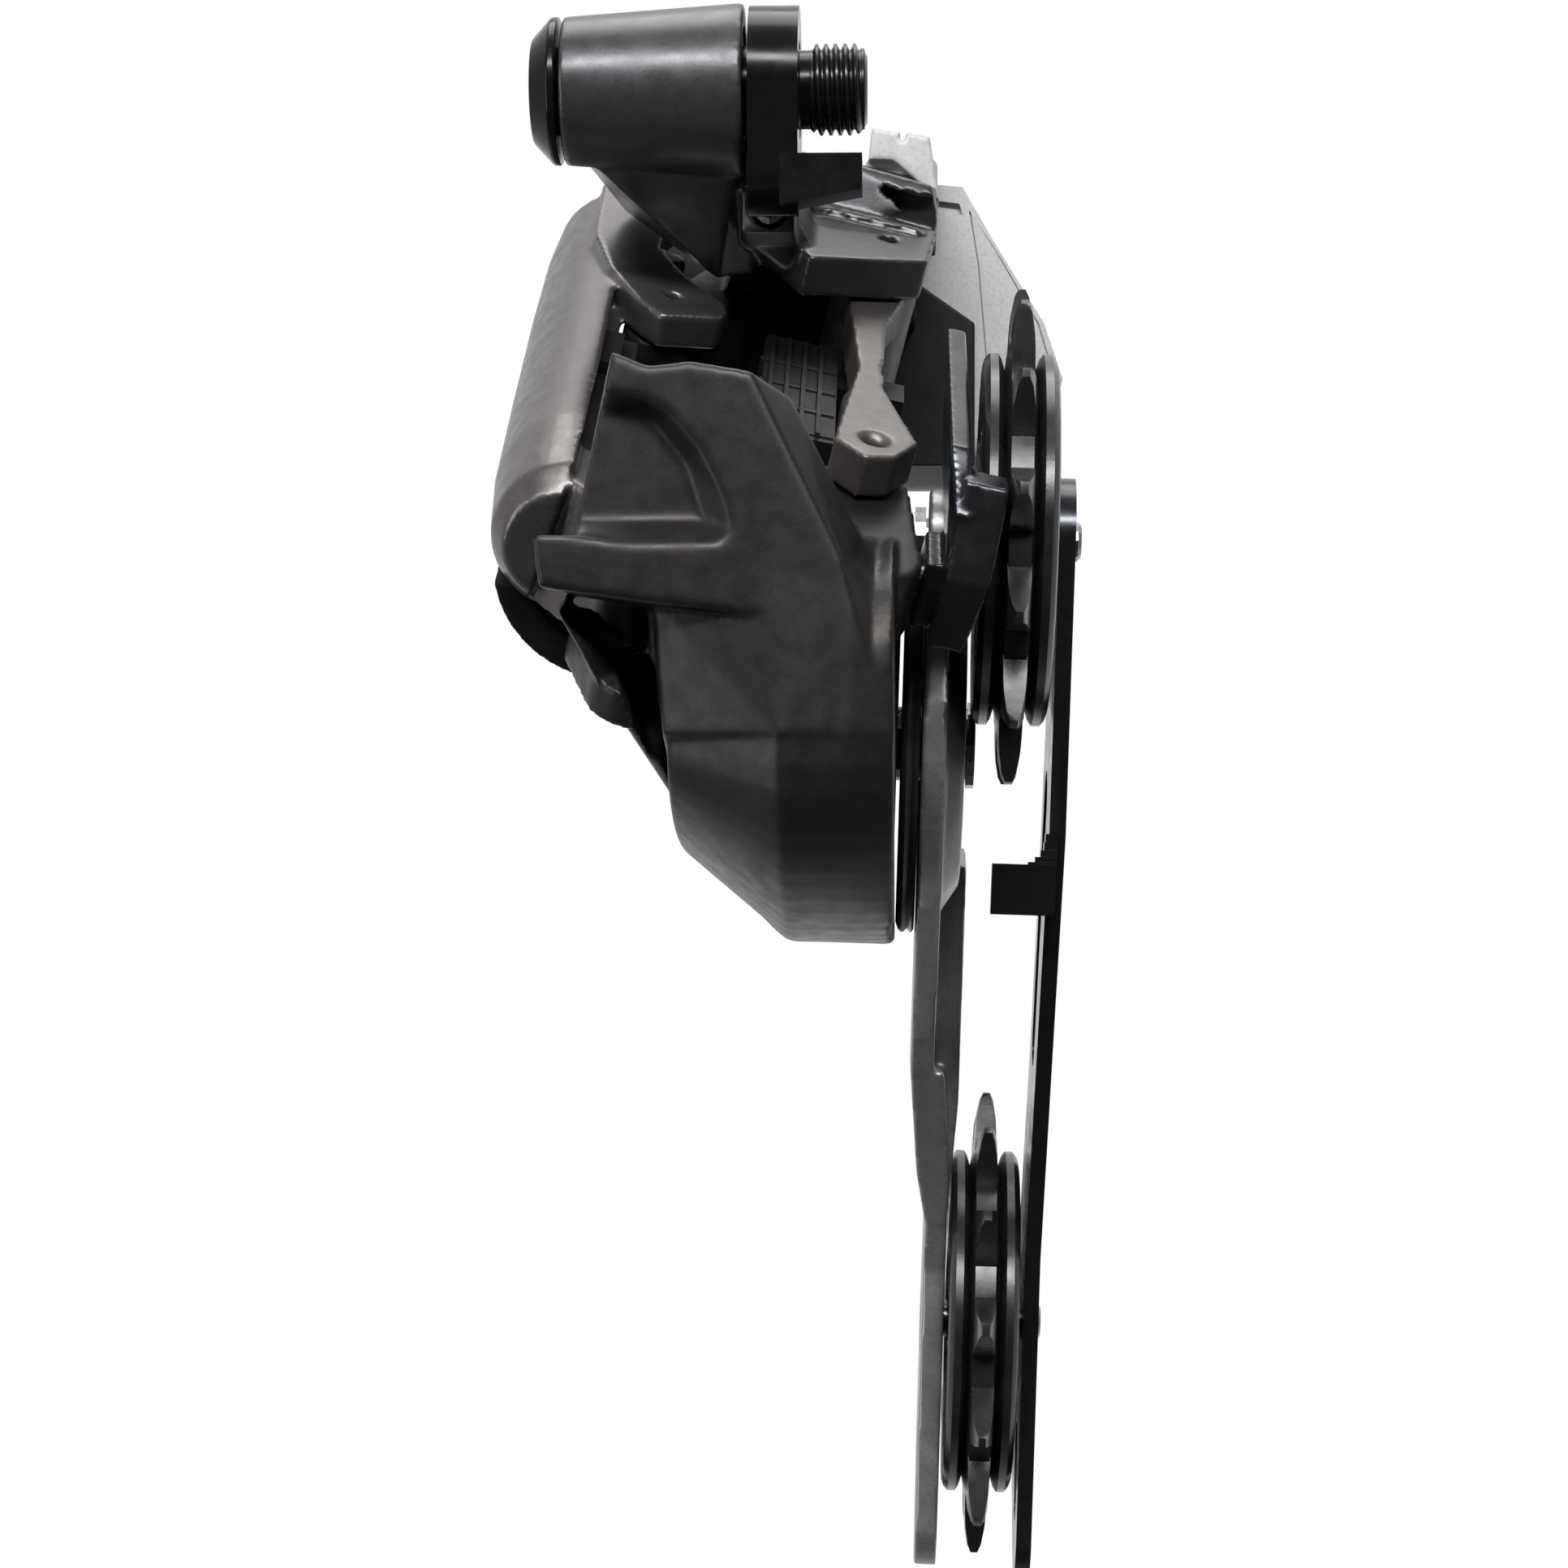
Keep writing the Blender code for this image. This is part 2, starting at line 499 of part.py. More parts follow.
def add_lower_body(body, finish):
    """A drum round the cage axle, a nose in front of it, and a shell that reaches up to the lower link pivots."""
    drum = turned(
        CAGE,
        (0.0, 0.0),
        [(-13.4, 10.0), (-11.0, 13.8), (-2.0, 22.2), (-0.8, DRUM_RADIUS), (DRUM_INNER_FACE, DRUM_RADIUS)],
        32,
    )
    stations = [(10.2, 48.4, 22.0, 22.8), (5.9, 49.8, 16.0, 22.8)]
    stations += [(-0.9, 50.0, 15.0, 22.7), (-12.4, 43.0, 12.8, 12.8)]
    nose = hull(WORLD, [(x, y, z) for x, *sizes in stations for y, z in nose_profile(*sizes)])
    front = [(-19.5, -33.0), (-14.0, -35.3), (-9.8, -34.8), (-3.9, -35.8), (5.4, -54.9), (6.2, -58.6)]
    front += [(-5.2, -60.0), (-13.8, -59.0), (-25.0, -57.4), (-25.6, -52.6)]
    upright = frame((0.0, 0.0, 0.0), (1.0, 0.0, 0.0), (0.0, 0.0, 1.0), (0.0, -1.0, 0.0))
    shell = prism(upright, front, 24.0, 37.4)
    flange = hull(
        WORLD,
        [(-3.9, -37.4, -35.8), (5.4, -37.4, -54.9), (6.2, -36.2, -58.6), (0.1, -32.8, -38.0)]
        + [(7.2, -29.8, -52.0), (-3.9, -24.0, -36.4), (0.0, -24.0, -38.2), (7.2, -20.0, -52.0)]
        + [(8.0, -20.0, -62.0), (-6.0, -24.0, -60.0)],
    )
    spur = hull(
        WORLD,
        [(-24.4, -32.6, -58.0), (-21.0, -30.5, -63.0), (-19.6, -28.0, -67.0), (-14.5, -18.0, -73.5)]
        + [(-13.0, -8.0, -78.0), (-13.0, 0.0, -80.0), (-12.0, -8.0, -62.0), (-8.0, -12.0, -64.0)]
        + [(-16.0, -22.0, -60.0), (-10.0, -6.0, -84.0)],
    )
    apron = hull(
        WORLD,
        [(-14.5, -31.5, -58.0), (-14.5, -29.5, -68.0), (-13.0, -24.0, -74.0), (-14.5, -14.0, -58.0)]
        + [(-1.0, -34.0, -57.0), (-1.0, -34.0, -64.0), (-1.0, -14.0, -57.0), (-8.0, -10.0, -72.0)],
    )
    inner_lug = slab(LINK, [(*B2, 5.2), (0.5, -62.0, 6.0)], -6.1, 2.1)
    lower_ear = slab(LINK, [(*A2, 4.2), (-20.0, -70.0, 5.0)], -17.4, -13.3)
    rim = [(-22.0, -35.6), (-14.0, -37.0), (-9.6, -40.0), (-7.0, -43.0), (-2.4, -52.4), (-4.6, -55.6)]
    rim += [(-10.0, -54.8), (-12.4, -52.8), (-27.0, -52.2)]
    floor = [(-22.0, -38.6), (-14.0, -40.4), (-10.6, -44.6), (-8.8, -50.4), (-26.0, -50.6)]
    valley = hull(WORLD, [(x, -40.0, z) for x, z in rim] + [(x, -34.6, z) for x, z in floor])
    guide_space = tube(CAGE, (0.0, 0.0), 23.4, 34.0, DRUM_INNER_FACE + 0.1, 26.0)
    cuts = [
        block(LINK, (-48.0, -67.8, -13.2), (-11.0, -20.0, 3.2)),
        block(LINK, (-48.0, -72.6, -16.0), (-29.4, -20.0, 8.0)),
        block(LINK, (-48.0, -66.0, -28.0), (-28.4, -20.0, -12.0)),
        slab(LINK, [(*B2, 5.6), (*B1, 9.0)], 2.3, 30.0),
        slab(LINK, [(*B2, 5.6), (*B1, 9.0)], -13.0, -6.3),
        rod(LINK, A2, PIN + GAP, -18.0, 8.4),
        rod(LINK, B2, EYE, -7.0, 3.0),
        rod(CAGE, (0.0, 0.0), 19.4, -0.6, DRUM_INNER_FACE + 1.0, 28),
        rod(CAGE, (0.0, 0.0), 4.6, -4.6, 2.0, 16),
        rod(LINK @ Matrix.Rotation(math.radians(90.0), 4, "Y"), (2.0, -57.6), 1.7, 1.0, 9.0, 12),
        guide_space,
        valley,
    ]
    body.add("lower_body", finish, [drum, nose, shell, flange, spur, apron, inner_lug, lower_ear], cuts)


def add_inner_arm(body, finish, steel):
    """A blade on the wheel side of the inner link, screwed to the lower body's lug."""
    blade = hull(
        LINK,
        [(u, v, 1.6) for u in (8.9, 11.2) for v in (-32.0, -62.0)]
        + [(u, v, 8.0) for u in (8.5, 10.2) for v in (-17.0, -62.0)]
        + [(u, v, 13.0) for u in (6.9, 9.0) for v in (-24.0, -56.0)],
    )
    foot = hull(
        LINK,
        [(u, v, h) for u in (8.9, 13.6) for v, h in ((-60.5, 2.0), (-56.5, 11.0), (-60.0, 11.0), (-65.0, 2.0))]
        + [(u, v, h) for u in (8.9, 12.6) for v, h in ((-62.0, -6.0), (-65.0, -6.0))],
    )
    bridge = hull(
        LINK,
        [(u, v, h) for u in (6.9, 9.4) for v, h in ((-54.0, 2.0), (-62.0, 2.0), (-61.0, -6.0), (-54.0, -6.0))],
    )
    through = LINK @ Matrix.Rotation(math.radians(90.0), 4, "Y")
    cuts = [rod(through, (2.0, -57.6), 1.7, 5.0, 15.0, 12), rod(through, (2.0, -57.6), 3.3, 10.4, 15.0, 16)]
    body.add("inner_arm", finish, [blade, foot, bridge], cuts)
    profile = [(2.0, 1.4), (10.7, 1.4), (10.7, 3.0), (12.6, 3.0)]
    screw = turned(through, (2.0, -57.6), profile, 16)
    body.add("arm_screw", steel, [screw], [hex_socket(through, (2.0, -57.6), 2.5, 11.4, 14.0)])


def add_drum_contents(body, steel, spring_steel, plastic):
    """What the drum holds: clutch, cage spring and the cover over them."""
    roller = tube(CAGE, (0.0, 0.0), 4.8, 7.6, 0.0, 7.6, 18)
    body.add("clutch_roller", steel, [roller])
    band = tube(CAGE, (0.0, 0.0), 8.0, 9.4, 0.6, 7.0, 20)
    mouth = block(CAGE, (-12.0, -1.6, 0.0), (-6.0, 1.6, 8.0))
    body.add("clutch_band", spring_steel, [band], [mouth])
    body.add("cage_spring", spring_steel, [tube(CAGE, (0.0, 0.0), 14.6, 18.2, 0.2, 7.2, 24)])
    body.add("drum_cover", plastic, [tube(CAGE, (0.0, 0.0), 6.0, 19.0, 8.2, 10.4, 28)])
    body.add("lower_outer_pin", steel, [rod(LINK, A2, PIN, -17.0, 8.0)])


# ---------------------------------------------------------------- cage


def add_cage_plates(cage, satin, dark_steel, steel):
    boss_profile = [(11.2, 6.0), (11.2, 20.6), (11.9, 21.6), (12.8, 21.6), (13.2, 21.2), (13.2, 6.0)]
    boss = turned(CAGE, (0.0, 0.0), boss_profile, 32, hollow=True)
    cage.add("boss_ring", satin, [boss])
    outer_outline = arc((0.0, 0.0), 22.0, 20.0, 96.0, 7)
    outer_outline += arc(GUIDE, 5.4, 60.0, 205.0, 7)
    outer_outline += arc((0.0, 0.0), 22.0, 168.0, 236.0, 6)
    outer_outline += [(2.0, -34.0), (12.0, -62.0)]
    outer_outline += arc((18.0, -92.0), 6.0, 190.0, 290.0, 5)
    outer_outline += [(30.0, -88.0)]
    outer_outline += arc(TENSION, 10.0, -30.0, 40.0, 4)
    outer_outline += [(22.0, -38.0)]
    outer = prism(CAGE, outer_outline, 13.5, 16.2)
    spine = hull(
        CAGE,
        [(a, b, c) for a, b in ((6.0, -16.0), (14.0, -14.0), (13.0, -62.0), (21.0, -60.0)) for c in (15.0, 18.4)],
    )
    guide_boss = turned(CAGE, GUIDE, [(15.0, 4.4), (18.4, 3.6)], 16)
    tension_boss = turned(CAGE, TENSION, [(15.0, 6.4), (18.4, 4.6)], 16)
    cuts = [
        rod(CAGE, (0.0, 0.0), 4.6, 12.0, 20.0, 16),
        rod(CAGE, GUIDE, 2.5, 12.0, 20.0, 12),
        rod(CAGE, TENSION, 2.5, 12.0, 20.0, 12),
        rod(CAGE, (1.4, 11.0), 1.6, 12.0, 20.0, 12),
    ]
    cage.add("outer_plate", satin, [outer, spine, guide_boss, tension_boss], cuts)
    inner_outline = arc(GUIDE, 7.0, 20.0, 190.0, 8)
    inner_outline += [(-18.0, 8.0), (-17.0, -10.0), (-6.0, -30.0), (10.0, -60.0)]
    inner_outline += arc((17.0, -92.5), 6.4, 190.0, 280.0, 5)
    inner_outline += [(29.0, -90.0)]
    inner_outline += arc(TENSION, 10.0, -30.0, 40.0, 4)
    inner_outline += [(14.0, -34.0), (4.0, -10.0)]
    inner = prism(CAGE, inner_outline, 27.7, 29.5)
    tab = hull(
        CAGE,
        [(a, b, c) for a, b in ((-17.2, -13.0), (-15.0, -13.0)) for c in (21.6, 28.6)]
        + [(a, b, c) for a, b in ((-15.6, -18.6), (-13.4, -18.6)) for c in (21.6, 28.6)],
    )
    inner_cuts = [rod(CAGE, GUIDE, 2.5, 26.0, 31.0, 12), rod(CAGE, TENSION, 2.5, 26.0, 31.0, 12)]
    cage.add("inner_plate", dark_steel, [inner, tab], inner_cuts)
    axle_profile = [(-4.2, 4.2), (18.7, 4.2), (18.7, 4.9), (19.6, 4.9)]
    axle = turned(CAGE, (0.0, 0.0), axle_profile, 16)
    cage.add("cage_axle", steel, [axle], [hex_socket(CAGE, (0.0, 0.0), 4.0, 17.0, 21.0)])
    cage.add("stop_pin", steel, [rod(CAGE, (1.4, 11.0), 1.3, 13.5, 17.4, 12)])
    for name, place in (("guide_bolt", GUIDE), ("tension_bolt", TENSION)):
        profile = [(12.0, 3.4), (13.2, 3.4), (13.2, 2.2), (30.0, 2.2), (30.4, 1.8)]
        bolt = turned(CAGE, place, profile, 14)
        cage.add(name, steel, [bolt], [hex_socket(CAGE, place, 3.0, 11.0, 15.0)])


def pulley_outline(centre):
    """Thirteen pointed teeth with round valleys between them."""
    points = []
    step = 2.0 * math.pi / PULLEY_TEETH
    for tooth in range(PULLEY_TEETH):
        middle = math.pi / 2.0 + tooth * step
        flank = ((23.2, -0.36), (24.6, -0.2), (PULLEY_TIP_RADIUS, -0.05))
        for radius, offset in flank + tuple((r, -o) for r, o in reversed(flank)):
            angle = middle + offset * step
            points.append((centre[0] + radius * math.cos(angle), centre[1] + radius * math.sin(angle)))
    return points


def add_pulley(body, prefix, centre, plastic, bronze, rubber):
    middle = CHAIN_LINE
    teeth = prism(CAGE, pulley_outline(centre), middle - 1.1, middle + 1.1)
    side = PULLEY_HALF_WIDTH
    profile = [(middle - side, 19.6), (middle - side + 0.7, PULLEY_FLANGE_RADIUS)]
    profile += [(middle - 2.3, PULLEY_FLANGE_RADIUS), (middle - 1.7, 18.6), (middle + 1.7, 18.6)]
    profile += [(middle + 2.3, PULLEY_FLANGE_RADIUS), (middle + side - 0.7, PULLEY_FLANGE_RADIUS)]
    profile += [(middle + side, 19.6)]
    wheel = turned(CAGE, centre, profile, 26)
    cuts = [
        rod(CAGE, centre, 5.0, middle - 6.0, middle + 6.0, 18),
        rod(CAGE, centre, 8.6, middle - 6.0, middle - 2.8, 18),
        rod(CAGE, centre, 8.6, middle + 2.8, middle + 6.0, 18),
    ]
    body.add(prefix + "_pulley", plastic, [wheel, teeth], cuts)
    body.add(prefix + "_bush", bronze, [tube(CAGE, centre, 2.6, 4.7, middle - 2.6, middle + 2.6, 16)])
    for name, low in (("outer", middle - side + 0.1), ("inner", middle + 3.1)):
        cap = tube(CAGE, centre, 2.6, 8.2, low, low + 0.9, 18)
        body.add(f"{prefix}_cap_{name}", rubber, [cap])


# ---------------------------------------------------------------- assembly


def main():
    clear_scene()
    gloss_black = look("gloss black steel", (0.012, 0.012, 0.013), 0.18, 0.7)
    satin_grey = look("satin dark grey alloy", (0.06, 0.06, 0.065), 0.35, 0.6)
    warm_grey = look("satin warm grey alloy", (0.10, 0.095, 0.092), 0.4, 0.5)
    body_grey = look("matt grey brown alloy", (0.055, 0.05, 0.047), 0.5, 0.4)
    forged = look("forged grey alloy", (0.32, 0.31, 0.30), 0.42, 0.8)
    dark_steel = look("dark steel", (0.05, 0.052, 0.055), 0.3, 0.85)
    steel = look("bright steel", (0.45, 0.45, 0.46), 0.3, 1.0)
    spring_steel = look("spring steel", (0.3, 0.3, 0.31), 0.35, 1.0)
    bronze = look("sintered bronze", (0.35, 0.24, 0.12), 0.5, 0.9)
    black_plastic = look("black nylon", (0.02, 0.02, 0.021), 0.45, 0.0)
    pale_plastic = look("pale grey nylon", (0.55, 0.55, 0.56), 0.4, 0.0)
    rubber = look("black rubber", (0.015, 0.015, 0.015), 0.75, 0.0)
    board_green = look("green circuit board", (0.02, 0.12, 0.05), 0.5, 0.0)
    copper = look("wound motor", (0.4, 0.2, 0.1), 0.4, 0.8)
    lens = look("clear lens", (0.7, 0.72, 0.7), 0.1, 0.0)

    root = Body("root", (0.0, 0.0, 0.0))
    knuckle = Body("b_knuckle", (0.0, 0.0, 0.0), root)
    b_screw = Body("b_screw", (-3.5, 8.0, -12.8), knuckle)
    door = Body("battery_door", (12.0, HINGE_Y, HINGE_Z), knuckle)
    latch = Body("door_latch", (11.0, 81.5, -9.0), door)
    button = Body("function_button", (-5.0, 62.0, -16.0), knuckle)
    outer_link = Body("outer_link", link_point(A1), knuckle)
    inner_link = Body("inner_link", link_point(B1), knuckle)
    pinion = Body("drive_pinion", link_point(pinion_centre(), GEAR_LOW), inner_link)
    lower_body = Body("lower_body", link_point(A2), outer_link)
    cage = Body("cage", cage_point((0.0, 0.0), 15.0), lower_body)
    guide = Body("guide_pulley", cage_point(GUIDE), cage)
    tension = Body("tension_pulley", cage_point(TENSION), cage)

    add_mounting_bolt(root, gloss_black)
    add_stop_plate(root, gloss_black)
    add_knuckle(knuckle, satin_grey)
    add_knuckle_fittings(knuckle, steel, bronze, spring_steel)
    add_battery_case(knuckle, pale_plastic, board_green, black_plastic, lens, steel)
    add_battery_door(door, latch, pale_plastic, black_plastic)
    screw_place = Matrix.Rotation(math.radians(-90.0), 4, "X")
    screw = turned(screw_place, (-3.5, 12.8), [(2.2, 1.0), (2.8, 1.6), (15.4, 1.6)], 12)
    b_screw.add("b_tension_screw", steel, [screw], [hex_socket(screw_place, (-3.5, 12.8), 1.8, 13.0, 17.0)])
    cap = turned(BOLT, (62.0, -16.0), [(-6.0, 2.6), (-5.7, 3.0), (-3.2, 3.0)], 16)
    button.add("function_button", black_plastic, [cap])
    add_outer_link(outer_link, warm_grey, rubber)
    add_inner_link(inner_link, forged, steel, black_plastic, copper, board_green)
    add_drive_pinion(pinion, spring_steel)
    add_lower_body(lower_body, body_grey)
    add_inner_arm(lower_body, dark_steel, steel)
    add_drum_contents(lower_body, steel, spring_steel, black_plastic)
    add_cage_plates(cage, satin_grey, dark_steel, steel)
    add_pulley(guide, "guide", GUIDE, black_plastic, bronze, rubber)
    add_pulley(tension, "tension", TENSION, black_plastic, bronze, rubber)


main()
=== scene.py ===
"""Looks of a motor driven rear derailleur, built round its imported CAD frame.

Shapes are written in millimetres in the CAD's frame: +X inboard, +Y rearward, +Z up.
as_object() turns them into metres.
"""

import itertools
import math

import bmesh
import bpy
from mathutils import Matrix, Vector

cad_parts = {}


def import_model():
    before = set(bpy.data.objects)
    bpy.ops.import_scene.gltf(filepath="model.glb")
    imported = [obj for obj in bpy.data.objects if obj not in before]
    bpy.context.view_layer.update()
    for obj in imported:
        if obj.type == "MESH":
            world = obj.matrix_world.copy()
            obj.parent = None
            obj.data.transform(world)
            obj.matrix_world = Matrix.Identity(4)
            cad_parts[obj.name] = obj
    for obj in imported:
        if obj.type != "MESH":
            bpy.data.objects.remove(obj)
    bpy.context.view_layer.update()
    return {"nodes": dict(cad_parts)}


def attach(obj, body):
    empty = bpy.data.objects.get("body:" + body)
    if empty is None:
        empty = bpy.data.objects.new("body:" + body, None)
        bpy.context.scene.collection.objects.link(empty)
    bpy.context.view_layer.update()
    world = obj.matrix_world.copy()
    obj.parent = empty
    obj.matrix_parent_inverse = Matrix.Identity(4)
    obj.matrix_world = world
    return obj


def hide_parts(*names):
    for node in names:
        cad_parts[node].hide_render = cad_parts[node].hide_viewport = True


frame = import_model()

MM = 0.001

# ---------------------------------------------------------------- frames of the CAD

LINK_SLOPE = math.radians(30.0)
PIN_LEAN = math.radians(13.5)
B1 = (0.0, 0.0)
A1 = (-23.6, -16.4)
PINION = (14.0 * math.cos(math.radians(231.0)), 14.0 * math.sin(math.radians(231.0)))
B2 = (0.0, -46.0)
A2 = (-23.6, -62.4)
CAGE_LEAN = math.radians(1.8)
GUIDE = (-12.0, 22.7)
TENSION = (25.0, -69.7)
CHAIN_LINE = 23.0
PULLEY_TEETH = 13

# ---------------------------------------------------------------- sizes shared by several pieces

LINK_PIN = 2.1
PIN_SEAT = 2.4
LINK_BORE = 2.5
PIN_MARK = 1.05
BOLT_SHANK = 4.8
BOLT_SOCKET = 5.0
STOP_PLATE = 9.15
BARREL = 9.45
HINGE = (80.0, -35.4)
CENTRE = (0.0, 0.0)
DRUM = 23.0
CAGE_HUB = 21.6
AXLE_BORE = 4.6
ARM_SCREW = (2.0, -57.6)
CREASE = math.radians(50.0)


def axes(origin, first, second, third):
    """A matrix whose columns are three axes, placed at an origin."""
    turn = Matrix((first, second, third)).transposed()
    return Matrix.Translation(origin) @ turn.to_4x4()


def link_axes():
    """u inboard, v rearward along the links, h along the link pins."""
    along = Vector((0.0, math.cos(LINK_SLOPE), math.sin(LINK_SLOPE)))
    square = Vector((0.0, -math.sin(LINK_SLOPE), math.cos(LINK_SLOPE)))
    across = Vector((1.0, 0.0, 0.0))
    pin = math.cos(PIN_LEAN) * square + math.sin(PIN_LEAN) * across
    side = math.cos(PIN_LEAN) * across - math.sin(PIN_LEAN) * square
    return axes(Vector((6.7, 30.3, -23.4)), side, along, pin)


def cage_axes():
    """Rearward, up the cage, across it towards the wheel."""
    up = Vector((math.sin(CAGE_LEAN), 0.0, math.cos(CAGE_LEAN)))
    across = Vector((math.cos(CAGE_LEAN), 0.0, -math.sin(CAGE_LEAN)))
    return axes(Vector((0.0, 12.0, -72.0)), Vector((0.0, 1.0, 0.0)), up, across)


WORLD = Matrix.Identity(4)
BOLT = axes(Vector((0.0, 0.0, 0.0)), (0.0, 1.0, 0.0), (0.0, 0.0, 1.0), (1.0, 0.0, 0.0))
FRONT = axes(Vector((0.0, 0.0, 0.0)), (1.0, 0.0, 0.0), (0.0, 0.0, 1.0), (0.0, -1.0, 0.0))
LINK = link_axes()
CAGE = cage_axes()

# ---------------------------------------------------------------- solids, as bmeshes in millimetres


def circle(centre, radius, sides, start=0.0):
    """Points round a circle."""
    step = 2.0 * math.pi / sides
    turns = [start + step * i for i in range(sides)]
    return [(centre[0] + radius * math.cos(t), centre[1] + radius * math.sin(t)) for t in turns]


def arc(centre, radius, first, last, steps):
    """Points along an arc between two angles in degrees."""
    angles = [math.radians(first + (last - first) * i / steps) for i in range(steps + 1)]
    return [(centre[0] + radius * math.cos(t), centre[1] + radius * math.sin(t)) for t in angles]


def at_x(pairs, levels):
    """Points (y, z), repeated at some levels of x."""
    return [(x, y, z) for x in levels for y, z in pairs]


def at_y(pairs, levels):
    """Points (x, z), repeated at some levels of y."""
    return [(x, y, z) for y in levels for x, z in pairs]


def at_z(pairs, levels):
    """Points (x, y), each at some levels of z."""
    return [(x, y, z) for x, y in pairs for z in levels]


def moved(place, points):
    """Points given in one of the frames, in world coordinates."""
    return [place @ Vector(point) for point in points]


def hull(place, points):
    """The convex solid round some points."""
    bm = bmesh.new()
    for point in points:
        bm.verts.new(place @ Vector(point))
    bmesh.ops.convex_hull(bm, input=bm.verts[:])
    loose = [v for v in bm.verts if not v.link_faces]
    bmesh.ops.delete(bm, geom=loose, context="VERTS")
    bmesh.ops.recalc_face_normals(bm, faces=bm.faces[:])
    return bm


def block(place, low, high):
    """A box between two corners."""
    sides = zip(low, high)
    return hull(place, itertools.product(*sides))


def slab(place, discs, low, high, sides=40):
    """The convex plate round some discs, each (first, second, radius)."""
    points = []
    for a, b, radius in discs:
        for x, y in circle((a, b), radius, sides):
            points.append((x, y, low))
            points.append((x, y, high))
    return hull(place, points)


def prism(place, outline, low, high):
    """An outline, extruded from one level to another."""
    bm = bmesh.new()
    face = bm.faces.new([bm.verts.new(place @ Vector((x, y, low))) for x, y in outline])
    rise = (place.to_3x3() @ Vector((0.0, 0.0, 1.0))) * (high - low)
    grown = bmesh.ops.extrude_face_region(bm, geom=[face])
    moved = [g for g in grown["geom"] if isinstance(g, bmesh.types.BMVert)]
    bmesh.ops.translate(bm, verts=moved, vec=rise)
    bmesh.ops.recalc_face_normals(bm, faces=bm.faces[:])
    return bm


def turned(place, centre, profile, sides=64, hollow=False):
    """A profile of (level, radius) pairs turned round an axis; a hollow one closes on itself."""
    bm = bmesh.new()
    rings = []
    for level, radius in profile:
        points = circle(centre, radius, sides)
        rings.append([bm.verts.new(place @ Vector((x, y, level))) for x, y in points])
    pairs = list(zip(rings, rings[1:]))
    if hollow:
        pairs.append((rings[-1], rings[0]))
    else:
        bm.faces.new(rings[0])
        bm.faces.new(rings[-1])
    for lower, upper in pairs:
        for i in range(sides):
            j = (i + 1) % sides
            bm.faces.new((lower[i], lower[j], upper[j], upper[i]))
    bmesh.ops.recalc_face_normals(bm, faces=bm.faces[:])
    return bm


def rod(place, centre, radius, low, high, sides=32):
    """A cylinder between two levels."""
    return turned(place, centre, [(low, radius), (high, radius)], sides)


def tube(place, centre, inner, outer, low, high, sides=64):
    """A hollow cylinder between two levels."""
    profile = [(low, inner), (low, outer), (high, outer), (high, inner)]
    return turned(place, centre, profile, sides, hollow=True)


def hex_socket(place, centre, across_flats, low, high):
    """The hole that a hexagon key fits."""
    radius = across_flats / math.sqrt(3.0)
    return prism(place, circle(centre, radius, 6), low, high)


# ---------------------------------------------------------------- objects


def as_object(name, bm):
    """A mesh object in metres."""
    bm.transform(Matrix.Scale(MM, 4))
    mesh = bpy.data.meshes.new(name)
    bm.to_mesh(mesh)
    bm.free()
    made = bpy.data.objects.new(name, mesh)
    bpy.context.scene.collection.objects.link(made)
    return made


def settle(made, tools=()):
    """Replaces an object's mesh with what its modifiers make of it."""
    graph = bpy.context.evaluated_depsgraph_get()
    graph.update()
    result = bpy.data.meshes.new_from_object(made.evaluated_get(graph))
    made.modifiers.clear()
    made.data = result
    for tool in tools:
        bpy.data.objects.remove(tool, do_unlink=True)
    return made


def joined(name, solids, cuts=()):
    """One object: solids joined, then cuts taken out of them."""
    made = as_object(name, solids[0])
    tools = []
    shapes = [("UNION", s) for s in solids[1:]] + [("DIFFERENCE", c) for c in cuts]
    for count, (operation, shape) in enumerate(shapes):
        tool = as_object(f"{name}_tool_{count}", shape)
        boolean = made.modifiers.new(operation.title(), "BOOLEAN")
        boolean.operation = operation
        boolean.solver = "MANIFOLD"
        boolean.object = tool
        tools.append(tool)
    return settle(made, tools)


def cast(name, solids, cuts=(), voxel=0.4, rounds=6, keep=0.4):
    """A casting: joined solids whose edges and corners are softened."""
    made = joined(name, solids, cuts)
    remesh = made.modifiers.new("Remesh", "REMESH")
    remesh.mode = "VOXEL"
    remesh.voxel_size = voxel * MM
    remesh.use_smooth_shade = True
    smooth = made.modifiers.new("Smooth", "SMOOTH")
    smooth.factor = 0.5
    smooth.iterations = rounds
    thin = made.modifiers.new("Decimate", "DECIMATE")
    thin.ratio = keep
    settle(made)
    made.data.shade_smooth()
    return made


def ease(made, width, segments, angle):
    """Adds small even bevels, and normals that keep flat faces flat."""
    made.data.shade_smooth()
    bevel = made.modifiers.new("Bevel", "BEVEL")
    bevel.width = width * MM
    bevel.segments = segments
    bevel.limit_method = "ANGLE"
    bevel.angle_limit = math.radians(angle)
    flat = made.modifiers.new("Flat", "WEIGHTED_NORMAL")
    flat.weight = 100


def machined(name, solids, cuts=(), width=0.25, segments=3, angle=30.0):
    """A machined or pressed piece: joined solids with small even bevels."""
    made = joined(name, solids, cuts)
    ease(made, width, segments, angle)
    return settle(made)


def piece(made, body, material, slot, *nodes):
    """Gives a piece its material and body, and lets it stand for CAD nodes."""
    made.data.materials.clear()
    made.data.materials.append(material)
    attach(made, body)
    if nodes:
        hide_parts(*nodes)
    return made


# ---------------------------------------------------------------- materials


CLOUD_SCALE = 70.0
SCUFF_SCALE = 420.0
GRAIN_SHADE = 0.62
GRAIN_DEPTH = 0.00006


def link_nodes(tree, *pairs):
    """Joins pairs of sockets."""
    for source, target in pairs:
        tree.links.new(source, target)


